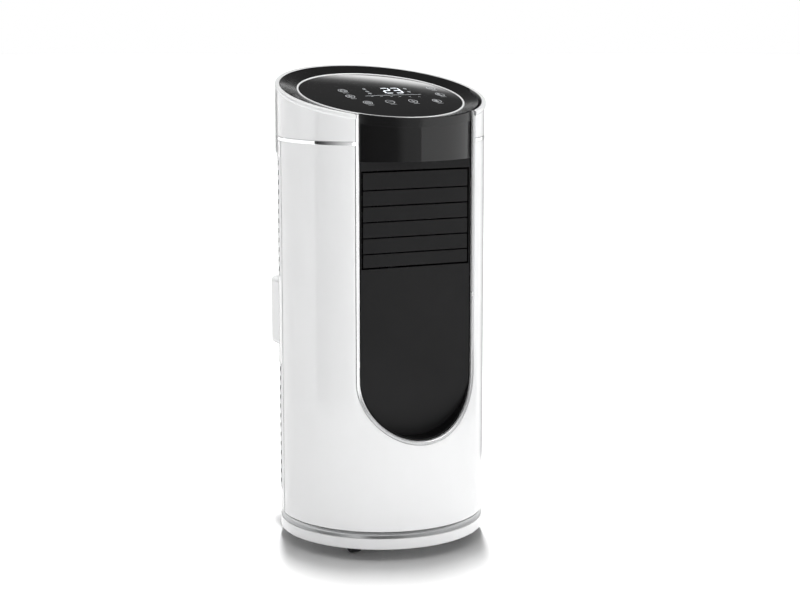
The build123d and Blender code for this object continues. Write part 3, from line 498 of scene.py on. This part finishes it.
upperShell = dict(lipOuter=152.0, lipSlope=1.6, rows=60, cuts=(0.5, 1.2, 1.2, 1.6, 0.8, 0.4, 0.4, 0.4),
                  rearSoft=0.3)


def fromWindow(radius):
    # angle where the window's edge plane, x constant, cuts a circle of this radius
    return np.arcsin((cabinet["trimHalf"] + cabinet["gap"]) / radius)


def sameAngle(angle):
    # an angle in degrees that holds at every radius
    return lambda radius: np.radians(angle) + 0.0 * radius


rearStart, rearEnd = sameAngle(180.0 - cabinet["rearZone"]), sameAngle(180.0 + cabinet["rearZone"])


def makeUpperShell():
    # two sides with an overhanging lip, and a plain wall behind under the rear cover
    radius, inner, lipInner, seat, bottom, gap = pick(cabinet, "radius inner lipInner rearSeat bandTop gap")
    lip, lipOuter = -cabinet["lipHeight"], upperShell["lipOuter"]
    under = lip - upperShell["lipSlope"]
    section = [(radius, bottom, 0), (radius, under, 1), (lipOuter, lip, 1), (lipOuter, 0.0, 1),
               (lipInner, 0.0, 1), (lipInner, lip, 1), (inner, under, 1), (inner, bottom, 0)]
    side = loft(carryRound(section, upperShell["cuts"], fromWindow, rearStart, upperShell["rows"]))
    behind = [(seat, bottom, 0), (seat, lip - gap, 1), (inner, lip - gap, 1), (inner, bottom, 0)]
    rear = loft(carryRound(behind, upperShell["rearSoft"], rearStart, rearEnd, upperShell["rows"]))
    addPiece("upperShell", [side, mirrored(side), rear], paint["whiteShell"], stands=("upper_shell",))


rearCover = dict(outer=152.3, inner=148.8, bottom=570.0, cuts=(1.2, 1.56, 0.8, 0.4, 0.4, 0.4), rows=84)


def makeRearCover():
    lip, lipInner = -cabinet["lipHeight"], cabinet["lipInner"]
    outer, inner, bottom = pick(rearCover, "outer inner bottom")
    zone = cabinet["rearZone"] - math.degrees(cabinet["gap"] / cabinet["radius"])
    section = [(outer, bottom, 0), (outer, 0.0, 1), (lipInner, 0.0, 1), (lipInner, lip, 1), (inner, lip, 1),
               (inner, bottom, 0)]
    ends = sameAngle(180.0 - zone), sameAngle(180.0 + zone)
    wall = loft(carryRound(section, rearCover["cuts"], *ends, rearCover["rows"]))
    addPiece("rearTopCover", [wall], paint["whiteShell"], stands=("rear_top_cover",))


accentBand = dict(outer=150.3, inner=146.7, cuts=(1.0, 1.0, 0.2, 0.2), rearSoft=0.2, rows=60)


def makeBand():
    low, high = pick(cabinet, "bandBottom bandTop")
    inner = accentBand["inner"]

    def ring(outer, cut, first, last):
        section = [(outer, low, 0), (outer, high, 0), (inner, high, 0), (inner, low, 0)]
        return loft(carryRound(section, cut, first, last, accentBand["rows"]))

    side = ring(accentBand["outer"], accentBand["cuts"], fromWindow, rearStart)
    rear = ring(cabinet["rearSeat"], accentBand["rearSoft"], rearStart, rearEnd)
    addPiece("accentBand", [side, mirrored(side), rear], paint["brightChrome"], stands=("accent_band",))


makeFrontShell()
makeRearShell()
makeSeam()
makeUpperShell()
makeRearCover()
makeBand()
print("casing done")


# black front: trim, panel, collar

frontTrim = dict(back=145.3, bevel=2.2, bevelTop=1.5, bevelFoot=145.5, bandCuts=(0.1, 0.4, 0.1, 0.1),
                 bevelCuts=(0.0, 0.2, 0.7, 0.1, 0.0))


def makeTrim():
    # a grey face and a bevel inside it, each a section carried along the window's outline to the rim; the
    # bevel's near-white colour is a painted highlight
    inner, outer, face = pick(cabinet, "windowHalf trimHalf radius")
    back = frontTrim["back"]
    middle, step = inner + frontTrim["bevel"], frontTrim["bevelTop"]
    band = softLoop([(outer, back), (outer, face), (middle, face), (middle, back)], frontTrim["bandCuts"])
    bevel = softLoop([(middle, back), (middle, face), (middle - step, face - step),
                      (inner, frontTrim["bevelFoot"]), (inner, back)], frontTrim["bevelCuts"])
    sheets = []
    for loop in (band, bevel):
        x, bend, share = windowPath(loop[:, 0])
        y = -np.sqrt(loop[:, 1] ** 2 - x ** 2)
        z = cabinet["windowCentre"] + bend + share * (rimAt(y) - cabinet["windowCentre"])
        sheets.append(loft(place(x, y, z)))
    addPiece("trimFace", sheets[:1], paint["satinSilver"], stands=("front_trim",))
    addPiece("trimBevelHighlight", sheets[1:], paint["trimBevelHighlight"])


frontPanel = dict(half=86.7, gap=1.8, face=-117.19, back=-114.19, top=566.3, openHalf=83.5, openBottom=416.9,
                  openTop=553.8, edgeSoft=0.5, edgeBend=0.15, edgeDepth=2.0, rays=240)
ledge = dict(outer=88.0, inner=84.7, radius=144.2, overlap=1.5, run=40.0, cuts=(0.0, 0.5, 0.5, 0.0),
             gapDepth=2.0, gapRise=0.25)


def makePanel():
    # the plate: rays from the louvre's middle, from the window outline in to the opening's edge and back
    face, back, openHalf, low, high, soft = pick(frontPanel, "face back openHalf openBottom openTop edgeSoft")
    half, middle, tall = frontPanel["half"] - frontPanel["gap"], (low + high) / 2, (high - low) / 2
    rise, fall = frontPanel["top"] - middle, middle - cabinet["windowCentre"]
    corners = np.degrees(np.arctan2([tall, rise, -tall, -fall], [openHalf, half, openHalf, half]))
    corners = np.concatenate([corners, 180.0 - corners]) % 360.0
    even = np.linspace(0.0, 360.0, frontPanel["rays"], endpoint=False)
    turn = np.radians(np.unique(np.concatenate([even, corners])))[:, None]
    cosine, sine = np.cos(turn), np.sin(turn)
    wide, steep = np.maximum(abs(cosine), tiny), np.maximum(abs(sine), tiny)
    hole = np.minimum(openHalf / wide, tall / steep)
    root = np.sqrt(np.maximum(half ** 2 - (fall * cosine) ** 2, 0.0))
    below = np.where(half / wide * steep > fall, -fall * sine + root, half / wide)
    rim = np.where(sine > 0, np.minimum(half / wide, rise / steep), below)
    bent = frontPanel["edgeBend"] * soft
    share = np.array([1.0, 0.5, 0.0, 0.0, 0.0, 0.0, 0.0, 1.0])
    extra = np.array([0.0, 0.0, soft, bent, 0.0, 0.0, 0.0, 0.0])
    depth = np.array([0.0, 0.0, 0.0, bent, soft, frontPanel["edgeDepth"], back - face, back - face])
    far = hole + extra + (rim - hole) * share
    plate = loft(place(far * cosine, face + depth, middle + far * sine), closeRows=True)
    addPiece("frontPanel", [plate, makeLedge()], paint["satinBlack"], stands=("front_panel",))


def makeLedge():
    # a thin wall along the panel's outline, out to the collar's round, and set back beside the louvre
    outer, inner, run = pick(ledge, "outer inner run")
    loop = softLoop([(outer, 0.0), (outer, run), (inner, run), (inner, 0.0)], ledge["cuts"])
    x, bend, share = windowPath(loop[:, 0])
    out = loop[:, 1] / run
    beside = np.minimum(share / ledge["gapRise"], 1)
    front = -np.sqrt(ledge["radius"] ** 2 - x ** 2) + ledge["gapDepth"] * beside
    z = cabinet["windowCentre"] + bend + share * (frontPanel["top"] - cabinet["windowCentre"])
    return loft(place(x, (frontPanel["back"] + ledge["overlap"]) * (1 - out) + front * out, z))


collar = dict(outer=144.5, inner=141.5, half=86.7, bottom=566.6, shelfTop=569.6, shelfBack=-114.19,
              shelfGap=0.05, cuts=(0.3, 0.7, 0.7, 0.02, 0.02, 0.02), columns=72)


def makeCollar():
    # for each x, an upright wall on the circle up to the slanted rim, and a shelf running back from its foot
    x = np.linspace(-collar["half"], collar["half"], collar["columns"])
    outer, inner = [-np.sqrt(radius ** 2 - x ** 2) for radius in pick(collar, "outer inner")]
    inner = np.minimum(inner, collar["shelfBack"] - collar["shelfGap"])
    shelf, low, high = [np.full_like(x, size) for size in pick(collar, "shelfBack bottom shelfTop")]
    y = np.stack([outer, outer, inner, inner, shelf, shelf], axis=-1)
    z = np.stack([low, rimAt(outer), rimAt(inner), high, high, low], axis=-1)
    loop = softLoop(np.stack([y, z], axis=-1), collar["cuts"])
    wall = loft(place(x[:, None], loop[..., 0], loop[..., 1]))
    addPiece("collarWall", [wall], paint["glossBlack"], stands=("collar",))


makeTrim()
makePanel()
makeCollar()
for index in range(1, 7):
    copyNode(f"louvre_slat_{index}", paint["satinBlack"], edge=0.5)
print("black front done")


# control top

# the cut behind the collar runs out between the two front angles
dish = dict(outer=145.7, frontOuter=141.2, frontHalf=92.3, frontAngles=(39.3, 40.83), inner=121.5, drop=6.3,
            ledgeInner=110.5, seat=-9.3, floor=-12.8, cuts=(0.5, 0.4, 0.1, 0.2, 0.2, 0.3), rows=224)


def makeDish():
    # a flat cone ring parallel to the rim; behind the collar, where x is within the trim, it is cut back
    near, far = dish["frontAngles"]
    turn = np.radians(gridLine([-180.0, -far, -near, near, far, 180.0], 360.0 / dish["rows"]))
    wide = dish["frontHalf"] / np.maximum(abs(np.sin(turn)), tiny)
    outer = np.where(np.cos(turn) > 0, np.clip(wide, dish["frontOuter"], dish["outer"]), dish["outer"])
    slope = -dish["drop"] * (dish["outer"] - outer) / (dish["outer"] - dish["inner"])
    fixed = [np.full_like(turn, size) for size in pick(dish, "inner ledgeInner drop seat floor")]
    inner, ledgeInner, drop, seat, floor = fixed
    radius = np.stack([outer, inner, inner, ledgeInner, ledgeInner, outer], axis=-1)
    height = np.stack([slope, -drop, seat, seat, floor, floor], axis=-1)
    loop = softLoop(np.stack([radius, height], axis=-1), dish["cuts"])
    r, turn = loop[..., 0], turn[:, None]
    y = -r * np.cos(turn)
    ring = loft(place(r * np.sin(turn), y, rimAt(y, loop[..., 1])), capped=False)
    addPiece("topDish", [ring], paint["dishBlack"], stands=("top_dish",))


controlRing = dict(outer=121.2, inner=118.5, top=-5.3, bottom=-9.3, cuts=(0.1, 1.35, 1.35, 0.1), rows=193)


def makeRing():
    # the ring's pale finish is a painted highlight along its rounded top
    outer, inner, bottom, top = pick(controlRing, "outer inner bottom top")
    section = [(outer, bottom, 1), (outer, top, 1), (inner, top, 1), (inner, bottom, 1)]
    turns = carryRound(section, controlRing["cuts"], sameAngle(0.0), sameAngle(360.0), controlRing["rows"])
    addPiece("controlRing", [loft(turns, capped=False)], paint["ringSilverHighlight"], stands=("control_ring",))


glass = dict(radius=118.2, edge=-6.3, dome=2.2, bottom=-9.3, edgeIn=0.5, edgeStep=0.12, edgeFall=0.4,
             rings=44, rows=192)


def glassLevel(x, y):
    # height over the rim plane: edge level plus the dome, which falls with the square of the radius
    return glass["edge"] + glass["dome"] * (1 - (x ** 2 + y ** 2) / glass["radius"] ** 2)


def makeGlass():
    # rings of the domed face, then the rounded edge, the side and the flat underside
    radius = glass["radius"]
    face = np.linspace(0.0, 1.0, glass["rings"]) * (1 - glass["edgeIn"] / radius) * radius
    r = np.concatenate([face, [radius - glass["edgeStep"], radius, radius, 0.0]])[None, :]
    turn = np.linspace(0.0, 2 * math.pi, glass["rows"], endpoint=False)[:, None]
    x, y = r * np.sin(turn), -r * np.cos(turn)
    height = glassLevel(x, y)
    height[:, -3] -= glass["edgeFall"]
    height[:, -2:] = glass["bottom"]
    plate = loft(place(x, y, rimAt(y, height)), closeRows=True, closeColumns=False)
    addPiece("controlGlass", [plate], paint["touchGlass"], stands=("control_glass",))


# places and sizes on the glass, as (x, y) about its middle
display = dict(lift=0.06, digitPlaces=(16.5, 32.5), digitMiddle=14.5, digitHalf=(5.6, 13.5), digitLean=0.06,
               digitGap=0.09, digitStroke=2.0, lineEnds=((-29.0, -11.5), (61.0, -7.6)), lineSteps=12,
               lineStroke=0.7, keyStroke=0.8, keyHalf=(6.2, 8.0), labelDrop=12.5, labelHalf=4.5,
               keys=((-50.8, 20.4), (-52.3, -10.2), (-40.3, -44.5), (-5.3, -43.7), (31.4, -42.9),
                     (69.9, -41.8), (92.2, -7.2), (94.2, 27.2)),
               statusStroke=0.6, iconHalf=(1.6, 2.2), iconRays=(2.8, 4.0, 0.75, 6), dotHalf=1.8,
               icons=((-14.6, 26.0), (-16.0, 12.2), (-16.3, 1.2), (50.5, 24.1), (49.0, 7.3)),
               dots=((-19.7, -15.0), (-5.7, -16.1), (9.4, -17.3), (22.3, -18.3), (37.7, -19.5),
                     (51.9, -20.6)))


def ribbon(line, stroke):
    # a line of points on the glass as a flat band: each point goes half a stroke to both sides
    line = np.asarray(line, float)
    along = np.gradient(line, axis=0)
    length = np.maximum(np.linalg.norm(along, axis=1, keepdims=True), tiny)
    side = np.stack([-along[:, 1], along[:, 0]], axis=-1) / length
    both = np.stack([line - side * stroke / 2, line + side * stroke / 2], axis=1)
    x, y = both[..., 0], both[..., 1]
    return loft(place(x, y, rimAt(y, glassLevel(x, y) + display["lift"])), closeColumns=False, capped=False)


def onOval(x, y, wide, deep, turn):
    return np.stack([x + wide * np.cos(turn), y + deep * np.sin(turn)], axis=-1)


def oval(x, y, wide, deep, start=0.0, end=360.0, count=33):
    # points of an ellipse about x, y between two angles
    return onOval(x, y, wide, deep, np.radians(np.linspace(start, end, count)))


def spokes(x, y, wide, deep, inner, count):
    # short straight lines pointing away from x, y, from the inner share of an ellipse out to it
    turn = np.radians(np.arange(count) * 360.0 / count + 90.0)
    ends = [onOval(x, y, wide * share, deep * share, turn) for share in (inner, 1.0)]
    return list(np.stack(ends, axis=1))


def bar(x, y, wide=0.0, low=0.0, high=0.0):
    # a straight line about x, y: from low at its left end to high at its right, wide to both sides
    return np.array([(x - wide, y + low), (x + wide, y + high)])


def digitBars(middle, lit):
    # bars of a figure: each is a line between two of its six corners, leaning with the height
    wide, tall = display["digitHalf"]
    corner = np.array([(-1, 1), (1, 1), (-1, 0), (1, 0), (-1, -1), (1, -1)], float)
    bars = dict(top=(0, 1), middle=(2, 3), bottom=(4, 5), upRight=(1, 3), lowLeft=(2, 4), lowRight=(3, 5))
    ends = corner[np.array([bars[name] for name in lit])]
    ends = ends + display["digitGap"] * (ends[:, ::-1] - ends)
    x = middle + ends[..., 0] * wide + ends[..., 1] * tall * display["digitLean"]
    return list(np.stack([x, display["digitMiddle"] + ends[..., 1] * tall], axis=-1))


def makeDisplay():
    # two lit figures, eight keys with a ring, a symbol and a dash each, and small marks round a line
    shown = (("top", "upRight", "middle", "lowLeft", "bottom"),
             ("top", "upRight", "middle", "lowRight", "bottom"))
    bars = [line for middle, lit in zip(display["digitPlaces"], shown) for line in digitBars(middle, lit)]
    addPiece("displayFigures", [ribbon(line, display["digitStroke"]) for line in bars], paint["litMark"])
    symbols = [lambda x, y: [oval(x, y, 3.4, 5.0, 120, 420), bar(x, y, 0.0, 1.0, 6.5)],
               lambda x, y: spokes(x, y, 4.0, 6.0, 0.15, 6),
               lambda x, y: [oval(x, y, 3.2, 4.8), bar(x, y, high=3.4), np.array([(x, y), (x + 2.2, y)])],
               lambda x, y: [bar(x, y, 3.6)],
               lambda x, y: [bar(x, y, 3.6), bar(x, y, 0.0, -5.2, 5.2)],
               lambda x, y: [oval(x + 1.6 * k, y, 1.0, 4.8, 90, 270) for k in (-1, 0, 1)],
               lambda x, y: [oval(x, y, 3.6, 5.2, 60, 300), oval(x + 1.6, y, 3.0, 4.4, 100, 260)],
               lambda x, y: [oval(x, y, 1.6, 2.4)] + spokes(x, y, 4.2, 6.2, 0.6, 8)]
    printed = []
    for (x, y), symbol in zip(display["keys"], symbols):
        printed += [oval(x, y, *display["keyHalf"])] + symbol(x, y)
        printed.append(bar(x, y - display["labelDrop"], display["labelHalf"]))
    # the printed key marks glow faintly: painted light
    addPiece("keyMarks", [ribbon(line, display["keyStroke"]) for line in printed], paint["printAndPaintedGlow"])
    small = []
    for x, y in display["icons"]:
        small += [oval(x, y, *display["iconHalf"])] + spokes(x, y, *display["iconRays"])
    small += [bar(x, y, display["dotHalf"]) for x, y in display["dots"]]
    marks = [ribbon(line, display["statusStroke"]) for line in small]
    marks.append(ribbon(np.linspace(*display["lineEnds"], display["lineSteps"]), display["lineStroke"]))
    addPiece("statusMarks", marks, paint["dimMark"])


makeDish()
makeRing()
makeGlass()
makeDisplay()
print("control top done")


# rear: intake grilles and exhaust outlet

# lower and upper are each grille's bottom, top and number of slots
grille = dict(slotHalf=3.75, pitch=14.0, zone=80.0, slotAngle=77.0, ribHalf=2.0, ribDepth=3.0, ribRoot=1.0,
              ribAngles=(-57.8, -38.5, -19.3, 0.0, 19.3, 38.5, 57.8), step=3.0, edgeSoft=0.5, shadeFrom=57.0,
              shadeRadii=(149.3, 147.2), lower=(78.0, 262.0, 13), upper=(394.0, 564.0, 12))


def makeGrille(name, node, bodyName, bottom, top, count):
    # slots between lines of constant height, left out of the wall except where an upright rib crosses them
    inner, zone, slotAngle, half = cabinet["inner"], grille["zone"], grille["slotAngle"], grille["slotHalf"]
    middles = (bottom + top - (count - 1) * grille["pitch"]) / 2 + np.arange(count) * grille["pitch"]
    slots = np.stack([middles - half, middles + half], axis=-1).ravel()
    height = np.concatenate([[bottom], slots, [top]])
    rib = math.degrees(grille["ribHalf"] / cabinet["radius"])
    ribs = np.array(grille["ribAngles"])
    stops = np.sort(np.concatenate([[-zone, -slotAngle, slotAngle, zone], ribs - rib, ribs + rib]))
    turn = gridLine(stops.tolist(), grille["step"])
    midTurn = (turn[1:] + turn[:-1]) / 2
    inRib = (abs(midTurn[:, None] - ribs[None, :]) < rib).any(axis=1)
    cut = (abs(midTurn) < slotAngle) & ~inRib
    slotRow = np.arange(len(height) - 1) % 2 == 1
    wall = maskedShell(turn + 180, height, ~(slotRow[:, None] & cut[None, :]), cabinet["radius"], inner)
    depths = (inner + grille["ribRoot"], inner - grille["ribDepth"])
    uprights = maskedShell(turn + 180, [bottom, top], inRib[None, :], *depths)
    addPiece(name, [wall, uprights], paint["whiteGrille"], bodyName, stands=(node,), edge=grille["edgeSoft"])
    # a dark strip stands close behind the outermost columns of slots; its black is painted shade inside them
    ends = gridLine([grille["shadeFrom"], slotAngle], grille["step"])
    strip = maskedShell(ends + 180, height[[1, -2]], np.ones((1, len(ends) - 1), bool), *grille["shadeRadii"])
    addPiece(name + "ShadeStrip", [strip, mirrored(strip)], paint["deepBlack"], bodyName)


makeGrille("lowerGrille", "lower_grille", "lower_intake", *grille["lower"])
makeGrille("upperGrille", "upper_grille", "upper_intake", *grille["upper"])
copyNode("exhaust_outlet", paint["whiteShell"])
copyNode("drain_plug", paint["casterBlack"], edge=0.6)
copyNode("cord_gland", paint["casterBlack"], edge=0.4)
print("rear done")


# casters

wheel = dict(radius=15.0, half=7.5, bore=2.3, hub=5.0, sunkFrom=6.5, sunkTo=10.0, side=11.5, dish=1.2,
             trail=9.0, sideSoft=0.4, treadSoft=2.2, boreSoft=0.2, columns=56,
             places=((-79.0, -86.0), (79.0, -86.0), (-79.0, 86.0), (79.0, 86.0)))


def makeWheels():
    # hub, sunk side, shoulder and tread of one side, then the other side and the bore, turned about the axle
    half, r, bore, hub, sunkFrom, sunkTo, side = pick(wheel, "half radius bore hub sunkFrom sunkTo side")
    sunk = half - wheel["dish"]
    right = [(half, r), (half, side), (sunk, sunkTo), (sunk, sunkFrom), (half, hub)]
    left = [(-along, radius) for along, radius in right[::-1]]
    soft, tread = [wheel["sideSoft"]] * 4, wheel["treadSoft"]
    cuts = [*soft, tread, tread, *soft, wheel["boreSoft"], wheel["boreSoft"]]
    for index, (x, y) in enumerate(wheel["places"], start=1):
        tyre = turned(left + right + [(half, bore), (-half, bore)], cuts, (x, y + wheel["trail"], r), "x",
                      wheel["columns"])
        stands = (f"caster_wheel_{index}",)
        addPiece(f"casterWheel{index}", [tyre], paint["casterBlack"], f"wheel_{index}", stands=stands)
        copyNode(f"caster_fork_{index}", paint["casterBlack"], edge=0.5)


makeWheels()
print("casters done")


# nodes inside keep their shape and take a finish

inside = dict(
    deepBlack=("louvre_frame", "louvre_link", "louvre_crank", "vane_link", "vane_1", "vane_2", "vane_3",
               "vane_4", "vane_5", "evaporator_scroll", "evaporator_fan"),
    circuitBoard=("display_board",),
    filterMesh=("upper_filter",),
    coilFins=("condenser", "evaporator"),
    compressorPaint=("compressor",),
    rubberAndSeamShade=("compressor_feet",),
    copperTube=("discharge_pipe", "suction_pipe", "liquid_pipe"),
    greyPlastic=("deck", "condenser_scroll", "condenser_fan", "electronics_box"),
    motorSteel=("louvre_motor", "condenser_motor", "evaporator_motor", "base_screws"),
)
for look, members in inside.items():
    for node in members:
        cadNodes[node].data.materials.clear()
        cadNodes[node].data.materials.append(paint[look])
print("inside nodes painted:", sum(len(members) for members in inside.values()))


# floor, light and camera

stageHalf = 30.0  # metres, as all sizes from here on
# brightness: around by degrees from the front, rise and behind by height from horizon to zenith; rise takes
# over from around between the two heights of blend, and behind from both where its turns say 1
light = dict(strength=1.0, blend=(0.25, 0.4),
             around=((-180, 0.85), (-105, 0.85), (-90, 0.45), (20, 0.4), (35, 1.1), (105, 1.1), (180, 0.6)),
             rise=((0.0, 0.25), (0.35, 0.25), (0.65, 0.25), (0.85, 0.3), (0.93, 1.0), (1.0, 1.2)),
             behind=((0.0, 1.2), (0.02, 1.2), (0.05, 0.1), (0.335, 0.1), (0.345, 2.4), (0.358, 2.4),
                     (0.37, 1.0), (0.382, 0.26), (0.4, 0.09), (0.82, 0.09), (0.9, 0.6)),
             behindTurns=((-180, 1.0), (-175, 1.0), (-160, 0.0), (100, 0.0), (115, 1.0), (180, 1.0)))
# far lamps as (turn, rise, power, spread), left out of reflections: a row high behind and a low one in front
lamps = [(158.4, rise, 0.52, 2.4) for rise in (86.0, 84.1, 82.2, 80.3, 78.4, 76.5)] + [(4.0, 1.6, 1.05, 3.0)]
lampDistance = 4.0
# curved screens round the object, with their brightness by direction: a far white backdrop for the camera,
# and others that only reflections show
screens = dict(
    front=dict(radius=1.0, first=-95.5, last=18.5, bottom=0.03, top=0.75,
               bright=((-95, 0.02), (-84, 0.1), (-73, 0.3), (-55, 0.75), (-51.5, 0.85), (-51, 3.2),
                       (-47, 3.2), (-46, 0.1), (-8, 0.2), (1, 0.55), (18.5, 0.62))),
    low=dict(radius=0.9, first=17.0, last=100.0, bottom=0.0, top=0.13, bright=((17, 0.6), (100, 0.7))),
    rear=dict(radius=0.5, first=110.0, last=188.0, bottom=0.0, top=0.62, bright=((-180, 0.45), (180, 0.45))),
    backdrop=dict(radius=29.0, first=-180.0, last=180.0, bottom=0.0, top=14.0, seen=True,
                  bright=((-180, 1.0), (180, 1.0))),
    upper=dict(radius=0.75, first=20.0, last=110.0, bottom=1.45, top=2.4, bright=((20, 2.6), (110, 2.6))),
)
screenColumns = 120
camera = dict(place=(-1.07348, -2.34344, 0.77294), aim=(0.42275881, 0.8916407, -0.16202421), lens=79.472,
              sensor=36.0, clip=(0.05, 200.0))


def makeFloor():
    half = stageHalf
    mesh = bpy.data.meshes.new("studioFloor")
    corners = [(-half, -half, 0.0), (half, -half, 0.0), (half, half, 0.0), (-half, half, 0.0)]
    mesh.from_pydata(corners, [], [(0, 1, 2, 3)])
    mesh.materials.append(paint["paleFloor"])
    floor = putObject("studioFloor", mesh)


def ramp(nodes, links, value, stops, low=-180.0, high=180.0):
    # the brightness of a value by stops of (value, brightness) over a range, the whole turn if none is given
    node = nodes.new("ShaderNodeValToRGB")
    elements = node.color_ramp.elements
    while len(elements) < len(stops):
        elements.new(0.5)
    for element, (stop, bright) in zip(elements, stops):
        element.position = (stop - low) / (high - low)
        element.color = (bright, bright, bright, 1.0)
    links.new(value, node.inputs["Fac"])
    return node.outputs["Color"]


def aboutAxis(nodes, links, vector):
    # direction round the axis as 0 to 1 over the whole turn, with the front in the middle, and the height
    split = nodes.new("ShaderNodeSeparateXYZ")
    links.new(vector, split.inputs["Vector"])
    back = nodes.new("ShaderNodeMath")
    back.operation = "MULTIPLY"
    back.inputs[1].default_value = -1.0
    links.new(split.outputs["Y"], back.inputs[0])
    turn = nodes.new("ShaderNodeMath")
    turn.operation = "ARCTAN2"
    links.new(split.outputs["X"], turn.inputs[0])
    links.new(back.outputs["Value"], turn.inputs[1])
    return mapRange(nodes, links, turn.outputs["Value"], (-math.pi, math.pi)), split.outputs["Z"]


def mixed(nodes, links, factor, first, second):
    # inputs 6 and 7 of the node are its two colours, and output 2 is the mixed one
    blend = nodes.new("ShaderNodeMix")
    blend.data_type = "RGBA"
    links.new(factor, blend.inputs["Factor"])
    links.new(first, blend.inputs[6])
    links.new(second, blend.inputs[7])
    return blend.outputs[2]


def makeLight():
    # light by direction: a ramp round the horizon, one up to the zenith, and one for a dark zone behind
    world = bpy.data.worlds.new("studioLight")
    scene.world = world
    nodes, links = openTree(world)
    where = nodes.new("ShaderNodeTexCoord")
    share, up = aboutAxis(nodes, links, where.outputs["Generated"])
    around = ramp(nodes, links, share, light["around"])
    rise = ramp(nodes, links, up, light["rise"], 0.0, 1.0)
    behind = ramp(nodes, links, up, light["behind"], 0.0, 1.0)
    zone = ramp(nodes, links, share, light["behindTurns"])
    openSky = mixed(nodes, links, mapRange(nodes, links, up, light["blend"]), around, rise)
    links.new(mixed(nodes, links, zone, openSky, behind), nodes["Background"].inputs["Color"])
    nodes["Background"].inputs["Strength"].default_value = light["strength"]


def makeLamps():
    for index, (turn, rise, power, spread) in enumerate(lamps, start=1):
        lamp = bpy.data.lights.new(f"lamp{index}", "SUN")
        lamp.energy, lamp.angle = power, math.radians(spread)
        turn, rise = math.radians(turn), math.radians(rise)
        toLamp = Vector((math.sin(turn) * math.cos(rise), -math.cos(turn) * math.cos(rise), math.sin(rise)))
        stand = putObject(f"lamp{index}", lamp)
        stand.location = toLamp * lampDistance
        stand.rotation_mode = "QUATERNION"
        stand.rotation_quaternion = toLamp.to_track_quat("Z", "Y")
        stand.visible_glossy = False


def makeScreen(name, screen):
    # radius times sine and cosine of the direction, from bottom to top
    turn = np.radians(np.linspace(screen["first"], screen["last"], screenColumns))[None, :]
    z = np.array([screen["bottom"], screen["top"]])[:, None]
    x, y, z = np.broadcast_arrays(screen["radius"] * np.sin(turn), -screen["radius"] * np.cos(turn), z)
    points, faces = loft(np.stack([x, y, z], axis=-1), closeColumns=False, capped=False)
    mesh = bpy.data.meshes.new(name)
    mesh.from_pydata(points.tolist(), [], faces)
    material = bpy.data.materials.new(name)
    nodes, links = openTree(material)
    nodes.remove(nodes["Principled BSDF"])
    where = nodes.new("ShaderNodeTexCoord")
    share = aboutAxis(nodes, links, where.outputs["Object"])[0]
    glow = nodes.new("ShaderNodeEmission")
    links.new(ramp(nodes, links, share, screen["bright"]), glow.inputs["Color"])
    links.new(glow.outputs["Emission"], nodes["Material Output"].inputs["Surface"])
    mesh.materials.append(material)
    cloth = putObject(name, mesh)
    cloth.visible_camera = screen.get("seen", False)
    cloth.visible_glossy = not cloth.visible_camera
    cloth.visible_shadow = False
    cloth.visible_diffuse = False


def makeCamera():
    view = bpy.data.cameras.new("photoView")
    view.lens, view.sensor_width = camera["lens"], camera["sensor"]
    view.clip_start, view.clip_end = camera["clip"]
    eye = putObject("photoView", view)
    eye.location = camera["place"]
    eye.rotation_mode = "QUATERNION"
    eye.rotation_quaternion = Vector(camera["aim"]).to_track_quat("-Z", "Y")
    scene.camera = eye
    scene.view_settings.view_transform = "Standard"


makeFloor()
makeLight()
makeLamps()
for name, screen in screens.items():
    makeScreen(name + "Screen", screen)
makeCamera()
print("stage, light and camera done")
